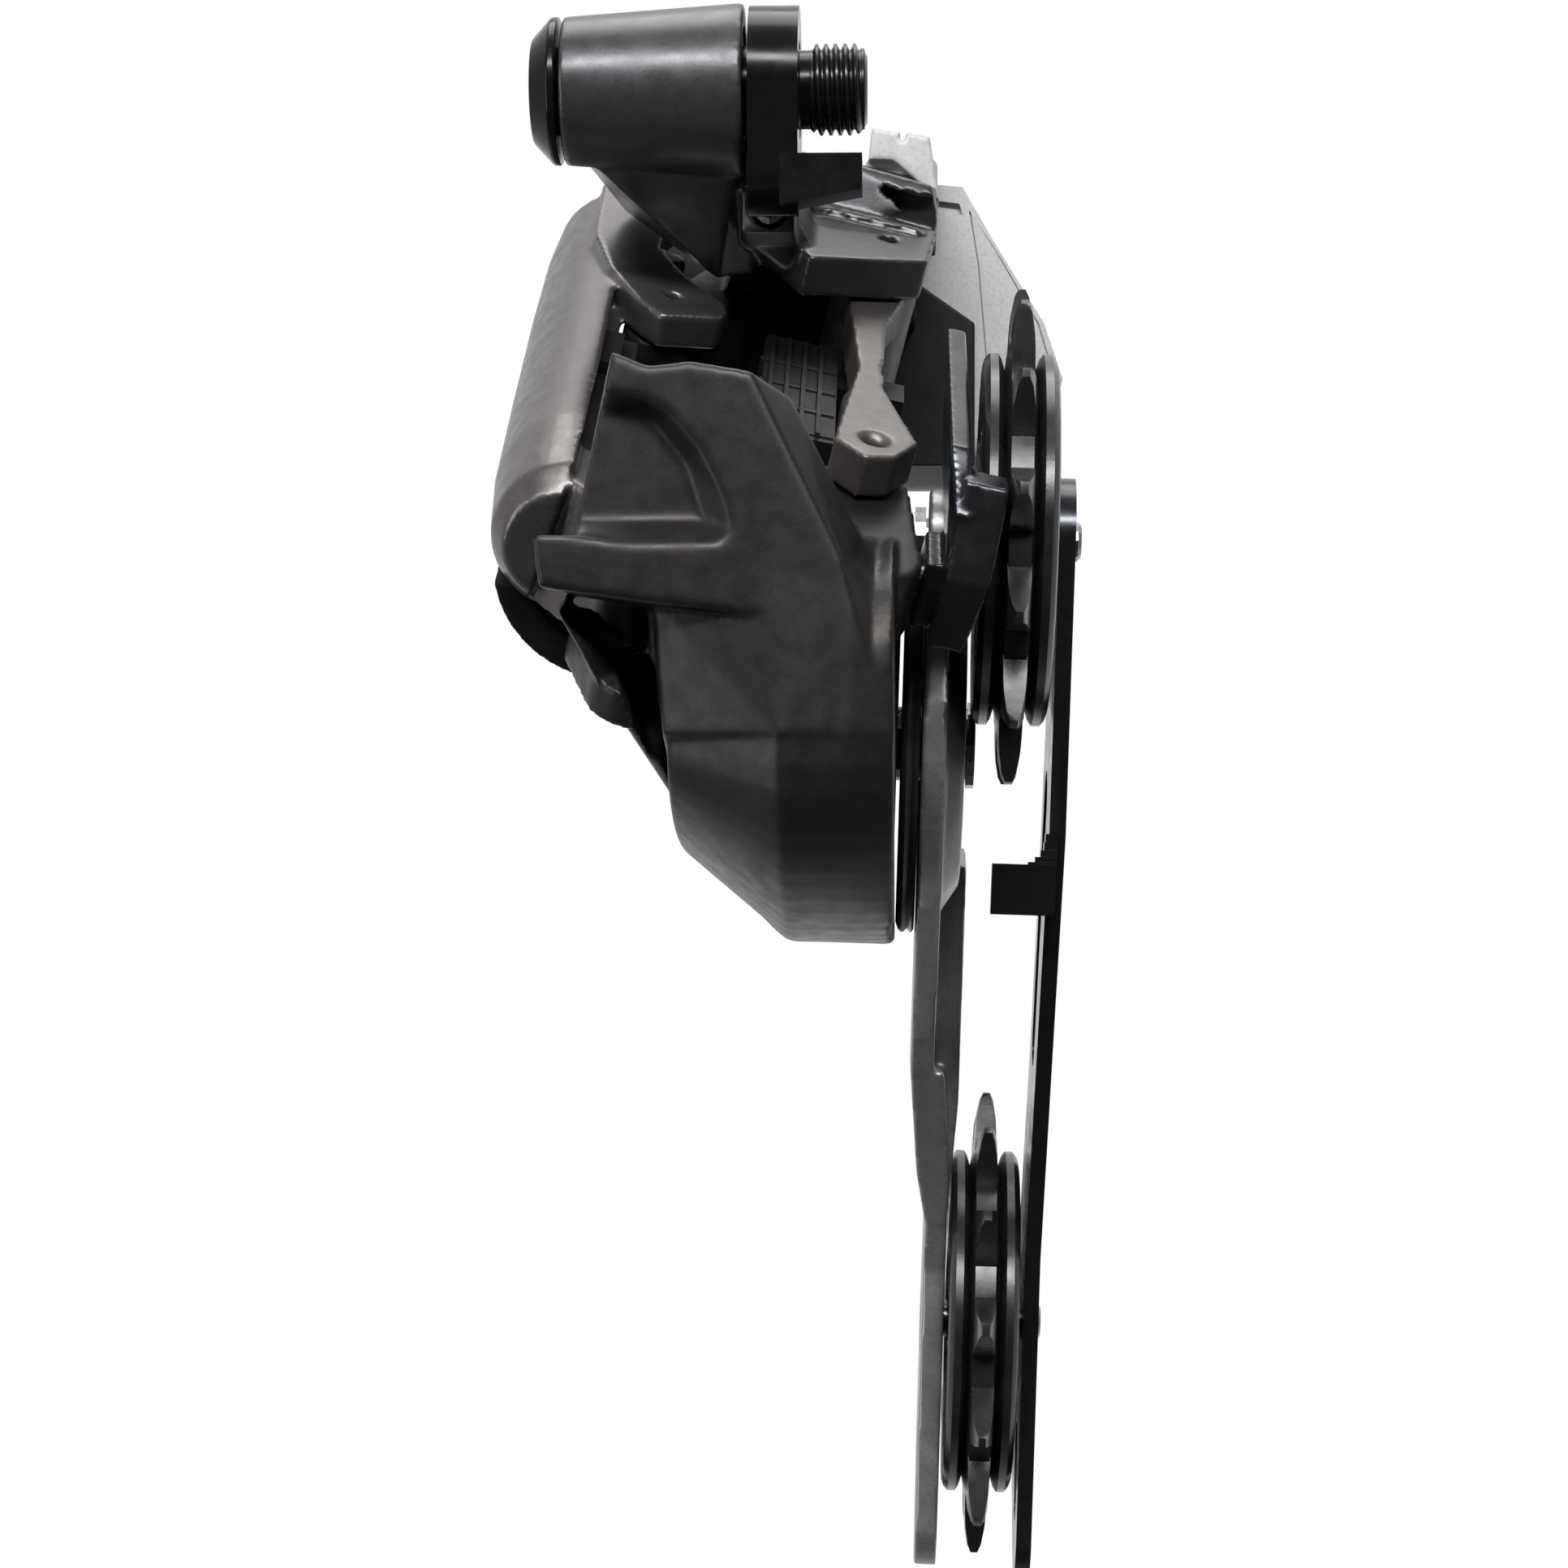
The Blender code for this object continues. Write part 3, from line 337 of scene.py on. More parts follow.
def noise(tree, coords, scale, detail=3.0):
    """A noise texture's value."""
    node = tree.nodes.new("ShaderNodeTexNoise")
    node.inputs["Scale"].default_value = scale
    node.inputs["Detail"].default_value = detail
    tree.links.new(coords, node.inputs["Vector"])
    return node.outputs["Fac"]


def remap(tree, value, low, high, start=0.3, end=0.7):
    """A value taken from one range to another."""
    node = tree.nodes.new("ShaderNodeMapRange")
    node.inputs["From Min"].default_value = start
    node.inputs["From Max"].default_value = end
    node.inputs["To Min"].default_value = low
    node.inputs["To Max"].default_value = high
    tree.links.new(value, node.inputs["Value"])
    return node.outputs["Result"]


def mix(tree, factor, first, second):
    """Two colours, or sockets that give them, mixed by a factor."""
    node = tree.nodes.new("ShaderNodeMix")
    node.data_type = "RGBA"
    for socket, colour in ((node.inputs["A"], first), (node.inputs["B"], second)):
        if isinstance(colour, tuple):
            socket.default_value = (*colour, 1.0)
        else:
            tree.links.new(colour, socket)
    tree.links.new(factor, node.inputs["Factor"])
    return node.outputs["Result"]


def finish(name, colour, other, rough, metal, grain=2600.0, bump=0.1, specular=0.5, spread=0.06):
    """A finish that drifts between two tones, with a fine grain in its tone and relief."""
    material = bpy.data.materials.new(name)
    material.use_nodes = True
    tree = material.node_tree
    shader = tree.nodes["Principled BSDF"]
    coords = tree.nodes.new("ShaderNodeTexCoord").outputs["Object"]
    cloud = remap(tree, noise(tree, coords, CLOUD_SCALE), 0.0, 1.0)
    fine = noise(tree, coords, grain, 2.0)
    drift = mix(tree, cloud, colour, other)
    darker = tuple(c * GRAIN_SHADE for c in colour)
    tone = mix(tree, remap(tree, fine, 0.0, 0.55, 0.45, 0.75), drift, darker)
    link_nodes(tree, (tone, shader.inputs["Base Color"]))
    scuff = noise(tree, coords, SCUFF_SCALE, 4.0)
    roughness = remap(tree, scuff, rough - spread, rough + spread)
    link_nodes(tree, (roughness, shader.inputs["Roughness"]))
    relief = tree.nodes.new("ShaderNodeBump")
    relief.inputs["Strength"].default_value = bump
    relief.inputs["Distance"].default_value = GRAIN_DEPTH
    link_nodes(tree, (fine, relief.inputs["Height"]))
    link_nodes(tree, (relief.outputs["Normal"], shader.inputs["Normal"]))
    shader.inputs["Metallic"].default_value = metal
    shader.inputs["Specular IOR Level"].default_value = specular
    return material


SATIN_GREY = finish("satin_grey", (0.062, 0.062, 0.065), (0.054, 0.054, 0.057), 0.34, 0.6)
WARM_GREY = finish("warm_grey", (0.130, 0.123, 0.121), (0.112, 0.105, 0.105), 0.36, 0.8)
BODY_GREY = finish(
    "body_grey", (0.023, 0.0215, 0.0205), (0.0205, 0.0195, 0.0185),
    0.42, 0.6, bump=0.12,
)
# The outer plate's satin grey alloy, made much lighter: the extra lightness is painted light for
# the light its facets catch.
PLATE_GREY_PAINTED_LIGHT = finish("plate_grey_painted_light", (0.34, 0.34, 0.345), (0.28, 0.28, 0.285), 0.38, 0.7)
GLOSS_BLACK = finish(
    "gloss_black", (0.005, 0.005, 0.005), (0.004, 0.004, 0.004),
    0.20, 0.0, bump=0.03, specular=0.2, spread=0.04,
)
THREAD_BLACK = finish(
    "thread_black", (0.012, 0.012, 0.013), (0.02, 0.02, 0.021),
    0.24, 0.6, bump=0.05,
)
FORGED = finish(
    "forged_grey", (0.13, 0.124, 0.12), (0.11, 0.104, 0.10),
    0.42, 0.75, grain=1800.0, bump=0.16,
)
DARK_STEEL = finish(
    "dark_steel", (0.045, 0.047, 0.050), (0.036, 0.037, 0.040),
    0.24, 0.8, bump=0.05,
)
BRIGHT_STEEL = finish("bright_steel", (0.42, 0.42, 0.43), (0.36, 0.36, 0.37), 0.27, 1.0, bump=0.05)
SPRING_STEEL = finish("spring_steel", (0.24, 0.24, 0.25), (0.19, 0.19, 0.20), 0.33, 1.0, bump=0.06)
BRONZE = finish("bronze", (0.34, 0.23, 0.12), (0.27, 0.18, 0.09), 0.48, 0.9, grain=1500.0, bump=0.2)
# Black nylon; the same black is also laid on the knuckle's inner walls and back wall as painted
# shade.
BLACK_NYLON_AND_SHADE = finish(
    "black_nylon", (0.006, 0.006, 0.007), (0.009, 0.009, 0.010),
    0.46, 0.0, grain=1700.0, bump=0.2, specular=0.2,
)
PULLEY_NYLON = finish(
    "pulley_nylon", (0.012, 0.012, 0.013), (0.017, 0.017, 0.018),
    0.28, 0.0, bump=0.10,
)
# The battery case's pale tone is a painted reflection: it stands in for the bright sheen off the
# case's faces.
PALE_NYLON_PAINTED_SHEEN = finish(
    "pale_nylon", (0.46, 0.46, 0.47), (0.41, 0.41, 0.42),
    0.38, 0.0, grain=1900.0, bump=0.14,
)
# Black rubber; the same black also fills the outer link's slot as painted shade.
RUBBER_AND_SHADE = finish(
    "rubber", (0.005, 0.005, 0.005), (0.008, 0.008, 0.008),
    0.66, 0.0, grain=1400.0, bump=0.25, specular=0.15,
)
BOARD_GREEN = finish("board_green", (0.012, 0.10, 0.04), (0.02, 0.14, 0.06), 0.36, 0.0, grain=900.0)
COPPER = finish(
    "copper_winding", (0.42, 0.19, 0.09), (0.34, 0.14, 0.06),
    0.34, 0.9, grain=1300.0, bump=0.3,
)
LENS = finish(
    "clear_lens", (0.55, 0.60, 0.56), (0.62, 0.66, 0.62),
    0.10, 0.0, bump=0.02, spread=0.02,
)
CELL_BLUE = finish("cell_wrap", (0.02, 0.03, 0.06), (0.03, 0.04, 0.08), 0.32, 0.0, bump=0.08)


# ---------------------------------------------------------------- bolt and stop plate


def threaded(place, low, high, crest, root, pitch, sides=96, steps=20):
    """A shaft with a helical thread that fades in and out at its ends."""
    bm = bmesh.new()
    count = int((high - low) / pitch * steps)
    rings = []
    for row in range(count + 1):
        level = low + (high - low) * row / count
        fade = min(1.0, (level - low) / (0.6 * pitch), (high - level) / (0.9 * pitch))
        ring = []
        for i in range(sides):
            turn = i / sides
            phase = (level / pitch - turn) % 1.0
            wave = max(0.0, min(1.0, 1.45 - 3.4 * abs(phase - 0.5)))
            radius = root + (crest - root) * wave * max(0.0, fade)
            angle = 2.0 * math.pi * turn
            point = Vector((radius * math.cos(angle), radius * math.sin(angle), level))
            ring.append(bm.verts.new(place @ point))
        rings.append(ring)
    bm.faces.new(rings[0])
    bm.faces.new(rings[-1])
    for lower, upper in zip(rings, rings[1:]):
        for i in range(sides):
            j = (i + 1) % sides
            bm.faces.new((lower[i], lower[j], upper[j], upper[i]))
    bmesh.ops.recalc_face_normals(bm, faces=bm.faces[:])
    return bm


def build_bolt():
    """Chamfered head with its socket, plain shank, and an M10 x 1 thread with a tapered tip."""
    profile = [(-29.6, 5.7), (-27.4, 8.1), (-26.6, 8.1), (-26.6, BOLT_SHANK), (-0.2, BOLT_SHANK)]
    profile += [(0.0, 4.3), (1.5, 4.3), (1.5, 3.0)]
    shaft = turned(BOLT, CENTRE, profile, 96)
    socket = hex_socket(BOLT, CENTRE, BOLT_SOCKET, -31.0, -24.0)
    head = machined("mounting_bolt_head", [shaft], [socket], 0.22)
    piece(head, "root", GLOSS_BLACK, "gloss_black_steel")
    thread = as_object("mounting_bolt_thread", threaded(BOLT, 1.2, 7.2, 5.0, 4.35, 1.05))
    thread.data.shade_smooth()
    thread.data.set_sharp_from_angle(angle=CREASE)
    piece(thread, "root", THREAD_BLACK, "gloss_black_steel", "mounting_bolt")
    end = turned(BOLT, CENTRE, [(6.6, 4.3), (7.1, 4.3), (7.5, 3.6), (7.5, 1.4), (7.0, 1.4)], 96)
    tip = machined("mounting_bolt_tip", [end], (), 0.15)
    piece(tip, "root", THREAD_BLACK, "gloss_black_steel")


def build_stop_plate():
    """Gloss black plate that seats on the hanger, with a tab that hooks round the hanger's edge."""
    disc = slab(BOLT, [(*CENTRE, STOP_PLATE), (-3.6, -10.0, 4.6)], -5.5, 0.0, 96)
    corners = ((-2.0, -8.6), (7.0, -8.6), (7.0, -12.5), (-2.0, -14.2))
    tab = hull(WORLD, at_y(corners, (-8.4, -3.0)))
    bore = rod(BOLT, CENTRE, 5.4, -6.5, 1.0, 64)
    plate = machined("stop_plate_body", [disc, tab], [bore], 0.45, 4)
    piece(plate, "root", GLOSS_BLACK, "gloss_black_steel", "stop_plate")


# ---------------------------------------------------------------- knuckle and battery case


def build_knuckle():
    """Conical barrel and web, and the ears and walls behind them that hold the link pins; these
    ears and walls are painted black as painted shade.
    """
    barrel_profile = [(-26.2, 7.9), (-26.0, 8.1), (-6.2, BARREL), (-6.1, 9.3)]
    barrel = turned(BOLT, CENTRE, barrel_profile, 128)
    neck_points = [(-25.2, -5.5, -4.0), (-25.2, 6.0, -4.0), (-6.4, -6.0, -4.0)]
    neck_points += [(-6.4, 8.0, -2.0), (-6.4, 6.0, 6.0), (-24.0, 6.0, 4.0)]
    neck_points += moved(LINK, ((-19.5, -3.0, 8.4), (-9.0, -8.0, 13.0), (-9.0, -8.0, 8.4)))
    neck_points += moved(LINK, ((-19.5, 9.0, 8.4), (-9.0, 12.0, 13.0), (-9.0, 12.0, 8.4)))
    neck = hull(WORLD, neck_points)
    web_points = [(-25.0, -2.0, -6.5), (-25.0, 8.0, -3.0), (-7.0, 0.0, -8.0), (-7.0, 10.0, -4.0)]
    web_edge = [(-31.0, 4.0), (-29.0, 10.0), (-26.0, -1.0), (-22.5, -6.5), (-19.0, -11.0)]
    web_points += moved(LINK, at_z(web_edge, (7.7, 9.0)))
    web_points += moved(LINK, at_z([(-15.0, -7.0), (-11.0, 9.0)], (7.7, 12.0)))
    web = hull(WORLD, web_points)
    ear_outline = [(-14.3, -2.0), (-11.0, -9.1), (-9.1, -11.6), (-1.5, -8.0), (4.8, -4.9)]
    ear_outline += [(6.1, 6.2), (6.2, 24.0), (-12.0, 24.0)]
    upper_ear = prism(LINK, ear_outline, 8.0, 13.0)
    spine_discs = [(-17.0, 10.0, 3.2), (1.5, 10.5, 3.8), (1.5, 18.0, 4.0), (-14.0, 18.0, 3.0)]
    spine = slab(LINK, spine_discs, -12.8, 9.0)
    side = slab(LINK, [(-16.8, 2.0, 3.0), (-16.8, 9.0, 3.0)], -9.0, 10.0)
    outer_lug = slab(LINK, [(*A1, 4.9), (-17.0, 2.0, 4.4)], -8.7, 2.2)
    lower_ear = slab(LINK, [(*B1, 5.0), (-1.0, 9.0, 5.0)], -12.8, -6.4)
    bracket = block(WORLD, (-4.0, 38.0, -20.0), (13.0, 49.6, -4.0))
    back_wall = block(WORLD, (-19.5, 45.5, -27.0), (-3.0, 49.6, -3.0))
    bar_points = [(2.0, 29.0, -1.6), (2.0, 40.0, -0.6), (15.0, 31.0, -4.9), (15.0, 41.0, -4.6)]
    bar_points += [(2.0, 28.5, -9.0), (15.6, 30.0, -8.0), (2.0, 41.0, -12.0), (15.6, 41.0, -12.0)]
    bar = hull(WORLD, bar_points)
    boss_side = [(3.0, -10.4), (3.0, -15.2), (14.0, -15.2), (14.0, -8.0)]
    screw_boss = hull(WORLD, at_x(boss_side, (-6.6, -0.6)))
    screw_axis = Matrix.Rotation(math.radians(-90.0), 4, "X")
    groove = slab(LINK, [(8.0, 7.5, 2.1), (-2.0, 9.5, 1.2)], 11.6, 16.0)
    dish = slab(LINK, [(-7.0, 2.5, 3.0), (3.0, 4.0, 1.2)], 12.1, 18.0)
    cuts = [
        rod(BOLT, CENTRE, 6.9, -27.2, -5.1, 64),
        rod(BOLT, CENTRE, STOP_PLATE + 0.4, -6.11, 8.0, 64),
        slab(BOLT, [(*CENTRE, STOP_PLATE + 0.4), (-3.6, -10.0, 5.0)], -6.1, 0.5),
        block(WORLD, (-6.1, -30.0, -17.0), (8.0, 1.5, 0.0)),
        block(LINK, (-40.0, -30.0, 2.25), (-17.3, 30.0, 7.3)),
        block(WORLD, (-20.0, 49.6, -45.0), (40.0, 70.0, 12.0)),
        rod(LINK, B1, PIN_SEAT, -14.0, 11.6),
        rod(LINK, B1, PIN_MARK, 11.0, 14.0),
        rod(LINK, A1, PIN_SEAT, -10.0, 3.0),
        rod(screw_axis, (-3.5, 12.8), 2.0, 2.0, 24.0),
        groove,
        dish,
    ]
    again = [solid.copy() for solid in cuts]
    solids = [barrel, neck, web, upper_ear, bar, screw_boss]
    knuckle = cast("knuckle_casting", solids, cuts, 0.36, 5, 0.35)
    piece(knuckle, "b_knuckle", SATIN_GREY, "satin_grey_alloy", "b_knuckle")
    # The inner ears, spine, side wall and bracket belong to the satin grey casting; the black they
    # get here is painted shade for the deep shadow inside the knuckle.
    solids = [spine, side, outer_lug, lower_ear, bracket]
    inside = cast("knuckle_inside_painted_shade", solids, again, 0.36, 5, 0.35)
    piece(inside, "b_knuckle", BLACK_NYLON_AND_SHADE, "satin_grey_alloy")
    # A black sheet over the knuckle's back wall: painted shade for the shadow on the wall seen
    # through the gap.
    cover = machined("knuckle_back_shade_sheet", [back_wall], (), 0.4)
    piece(cover, "b_knuckle", BLACK_NYLON_AND_SHADE, "black_nylon")
    pin = machined("upper_inner_pin_body", [rod(LINK, B1, LINK_PIN, -17.0, 11.3)], (), 0.3)
    piece(pin, "b_knuckle", BRIGHT_STEEL, "bright_steel", "upper_inner_pin")
    pin = machined("upper_outer_pin_body", [rod(LINK, A1, LINK_PIN, -13.0, 4.4)], (), 0.3)
    piece(pin, "b_knuckle", BRIGHT_STEEL, "bright_steel", "upper_outer_pin")


def build_battery_case():
    """Case coloured pale as a painted reflection, with an inset panel, a slot, a dark screen and
    two ribs; a flap closes its back.
    """
    outline = [(-5.0, -4.5), (16.0, -1.4), (19.0, -1.7), (23.0, -8.7), (29.3, -19.0), (31.6, -26.0)]
    outline += [(29.5, -33.4), (0.0, -33.4), (-5.0, -29.0)]
    shell = prism(FRONT, outline, -78.0, -50.0)
    lugs = [block(WORLD, (x, 74.0, -37.4), (x + 3.0, 82.0, -32.0)) for x in (0.5, 20.5)]
    hollow = [(-2.6, -31.6), (-2.6, -5.0), (16.5, -3.6), (26.6, -20.0), (26.6, -31.6)]
    cavity = prism(FRONT, hollow, -80.0, -51.6)
    panel = [(19.8, -4.6), (23.0, -9.4), (28.6, -18.9), (30.0, -23.5), (28.6, -31.4)]
    panel += [(22.6, -31.4), (20.9, -11.5)]
    inset = [(x + (24.6 - x) * 0.06, z + (-19.0 - z) * 0.03) for x, z in panel]
    frame_of_panel = prism(FRONT, panel, -50.5, -48.0)
    line = joined("panel_line", [frame_of_panel], [prism(FRONT, inset, -51.0, -47.0)])
    slot_corners = [(15.9, -3.4), (18.6, -3.8), (19.0, -5.2), (16.0, -5.0)]
    slot = hull(WORLD, at_y(slot_corners, (49.0, 51.0)))
    cuts = [
        cavity,
        rod(BOLT, HINGE, 1.2, -1.0, 25.0),
        rod(BOLT, (62.0, -16.0), 3.4, -6.0, -1.0),
        rod(BOLT, (69.0, -16.0), 1.5, -6.0, -1.0),
        slot,
    ]
    case = joined("battery_case_shell", [shell] + lugs, cuts)
    groove = case.modifiers.new("Line", "BOOLEAN")
    groove.operation = "DIFFERENCE"
    groove.solver = "EXACT"
    groove.object = line
    ease(case, 0.5, 3, 25.0)
    settle(case, [line])
    piece(case, "b_knuckle", PALE_NYLON_PAINTED_SHEEN, "pale_nylon", "battery_case")
    screen_outline = [(-3.0, -19.0), (12.0, -13.0), (20.5, -19.0), (20.5, -37.0), (-3.0, -37.0)]
    screen = prism(FRONT, screen_outline, -49.6, -48.8)
    cover = machined("case_front_cover", [screen], (), 0.3)
    piece(cover, "b_knuckle", BLACK_NYLON_AND_SHADE, "black_nylon")
    rib_corners = [(7.6, 4.6), (11.2, 4.0), (10.6, 0.4), (7.2, 0.6)]
    broad_rib_corners = [(12.0, 4.0), (14.8, 3.4), (16.0, -4.6), (10.6, 0.2)]
    solids = [hull(WORLD, at_y(q, (43.0, 49.8))) for q in (rib_corners, broad_rib_corners)]
    solids.append(block(WORLD, (6.8, 45.0, -6.0), (15.8, 49.8, 0.6)))
    ribs = cast("case_ribs", solids, (), 0.3, 4, 0.5)
    piece(ribs, "b_knuckle", PALE_NYLON_PAINTED_SHEEN, "pale_nylon")
    flap_outline = [(-4.4, -5.0), (15.8, -2.2), (18.6, -2.6), (28.6, -19.4), (30.8, -26.0)]
    flap_outline += [(29.4, -31.4), (-1.4, -31.4), (-4.4, -28.6)]
    flap = prism(FRONT, flap_outline, -80.5, -78.3)
    barrel_points = at_x(circle(HINGE, 2.0, 32), (4.2, 19.8))
    barrel_points += at_x([(78.5, -30.4), (80.3, -30.4)], (4.2, 19.8))
    barrel = hull(WORLD, barrel_points)
    cuts = [rod(BOLT, HINGE, 1.3, 3.0, 21.0)]
    for i in range(5):
        start = 6.0 + 2.2 * i
        end = 6.9 + 2.2 * i
        cuts.append(block(WORLD, (start, 80.1, -28.0), (end, 80.9, -22.0)))
    door = machined("battery_flap", [flap, barrel], cuts, 0.35)
    piece(door, "battery_door", PALE_NYLON_PAINTED_SHEEN, "pale_nylon", "battery_door")


# ---------------------------------------------------------------- links and drive unit


def build_outer_link():
    """Deep wall with a forked upper end and a lower eye, a black strip in its slot as painted
    shade, and its bumper.
    """
    top_face = [(-34.3, 15.3), (-32.4, 14.7), (-25.0, 12.4), (-23.5, 10.8), (-24.7, 7.7)]
    top_face += [(-25.9, 2.8), (-26.0, -2.4), (-23.8, -7.1), (-22.1, -10.2), (-17.6, -15.6)]
    top_face += [(-17.3, -17.9), (-18.0, -20.1), (-24.6, -23.0), (-27.7, -19.4), (-31.5, -11.8)]
    top_face += [(-34.0, -2.2)]
    upper_ear = prism(LINK, top_face, 2.6, 6.8)
    sections = ((14.6, -30.6, -1.4, 7.4), (8.0, -29.0, -3.6, 9.8), (-8.0, -28.4, -4.4, 10.6))
    sections += ((-30.0, -28.4, -4.6, 10.5), (-50.0, -28.7, -4.6, 10.0), (-60.0, -29.2, -4.7, 8.8))
    sections += ((-63.0, -30.0, -4.8, 6.4),)
    skin = []
    for v, mid, low, radius in sections:
        skin += at_y(arc((mid, low), radius, 100.0, 246.0, 16), (v,))
    wall = hull(LINK, skin)
    lower_ear = slab(LINK, [(*A1, 5.0), (-33.0, -12.0, 4.0)], -13.2, -9.1)
    eye = slab(LINK, [(*A2, 4.6), (-31.5, -56.0, 3.6)], -12.8, 2.6)
    lip = block(LINK, (-31.5, -24.0, -8.0), (-28.9, -4.0, 3.0))
    low_lip = block(LINK, (-31.5, -58.0, -8.0), (-26.5, -22.0, 2.4))
    high_lip = block(LINK, (-31.5, -33.0, -8.0), (-28.2, -24.0, 4.0))
    nub = slab(LINK, [(-24.6, -1.0, 1.9), (-28.0, -1.0, 2.5)], 2.8, 5.2)
    cuts = [
        rod(LINK, A1, LINK_BORE, -14.0, 4.8),
        rod(LINK, A1, PIN_MARK, 4.0, 8.0),
        rod(LINK, A2, LINK_BORE, -14.0, 8.0),
    ]
    solids = [upper_ear, wall, lower_ear, eye, lip, nub]
    link = cast("outer_link_casting", solids, cuts, 0.36, 9, 0.35)
    piece(link, "outer_link", WARM_GREY, "warm_grey_alloy", "outer_link")
    # Black rubber strips fill the slot between wall and lip: painted shade for the dark gap there.
    slot_shade_strip = machined("link_slot_shade_strip", [low_lip, high_lip], (), 0.4)
    piece(slot_shade_strip, "outer_link", RUBBER_AND_SHADE, "rubber")
    skid = LINK @ Matrix.Rotation(math.radians(90.0), 4, "X")
    middle = (-24.4, -8.0)
    outline = arc(middle, 12.7, 196.0, 264.0, 24) + arc(middle, 8.6, 258.0, 204.0, 18)
    pad = cast("link_bumper_pad", [prism(skid, outline, 40.0, 60.0)], (), 0.35, 8, 0.5)
    piece(pad, "outer_link", RUBBER_AND_SHADE, "rubber", "link_bumper")


def build_inner_link():
    """Light forged arm with a narrow waist and a countersunk lower end, over a lower ear."""
    upper_eye = rod(LINK, B1, 5.0, -6.0, 7.5)
    arm_outline = [(-3.4, -3.0), (-3.2, -10.3), (-2.0, -27.0), (-3.8, -42.0), (-4.4, -47.8)]
    arm_outline += [(-1.0, -51.1), (2.4, -49.6), (4.8, -44.8), (0.9, -31.7), (1.1, -13.7)]
    arm_outline += [(3.4, -3.0)]
    arm = prism(LINK, arm_outline, 2.6, 7.5)
    web = slab(LINK, [(-1.0, -27.0, 1.9), (-1.0, -37.4, 1.9)], -11.4, 4.0)
    lower_ear = slab(LINK, [(*B2, 4.8), (-1.0, -38.0, 2.2)], -11.4, -6.6)
    waist = [rod(LINK, (centre, -26.0), 9.0, 3.4, 12.0, 48) for centre in (-11.4, 9.6)]
    cuts = [
        rod(LINK, B1, LINK_BORE, -8.0, 9.0),
        rod(LINK, B2, PIN_SEAT, -13.0, 5.6),
        rod(LINK, B2, 1.1, 5.0, 9.0),
        turned(LINK, B2, [(6.7, 1.1), (8.0, 2.5)], 32),
    ]
    solids = [upper_eye, arm, web, lower_ear]
    link = cast("inner_link_forging", solids, cuts + waist, 0.3, 6, 0.4)
    piece(link, "inner_link", FORGED, "forged_alloy", "inner_link")
    pin = machined("lower_inner_pin_body", [rod(LINK, B2, LINK_PIN, -11.2, 5.4)], (), 0.3)
    piece(pin, "inner_link", BRIGHT_STEEL, "bright_steel", "lower_inner_pin")


def build_drive_unit():
    """Housing of the motor and worm, with ridges along it and bands round it."""
    case = block(LINK, (-12.0, -38.0, -7.6), (-3.4, -11.0, 2.3))
    side = block(LINK, (1.4, -19.0, -7.6), (4.8, -14.0, 0.9))
    bridge = block(LINK, (-4.4, -19.0, -7.6), (2.4, -14.0, 0.9))
    nose = slab(LINK, [(*PINION, 3.0), (PINION[0], -14.0, 3.0)], -12.8, -6.6)
    solids = [case, side, bridge, nose]
    for i in range(4):
        start = -11.4 + 1.9 * i
        end = -10.9 + 1.9 * i
        solids.append(block(LINK, (start, -37.2, 1.8), (end, -12.0, 2.9)))
    for v in (-37.0, -31.0, -25.0, -19.0):
        solids.append(block(LINK, (-12.4, v, -7.2), (-3.6, v + 1.0, 2.5)))
    cavity = block(LINK, (-11.0, -37.0, -9.0), (-4.4, -16.5, 1.3))
    shaft_hole = rod(LINK, PINION, 1.6, -14.0, -10.0)
    unit = machined("drive_unit_housing", solids, [cavity, shaft_hole], 0.2, 2)
    piece(unit, "inner_link", BLACK_NYLON_AND_SHADE, "black_nylon", "drive_case")


# ---------------------------------------------------------------- lower body


def nose_profile(reach, half_up, half_down, steps=16):
    """Points (y, z) of a housing that bulges forward of the cage axle, squarer above than below."""
    points = []
    for half, power in ((half_up, 4.0), (-half_down, 2.4)):
        for i in range(steps + 1):
            turn = math.radians(90.0 * i / steps)
            forward = reach * math.cos(turn) ** (2.0 / power)
            rise = half * math.sin(turn) ** (2.0 / power)
            points.append((12.0 - forward, -72.0 + rise))
    return points


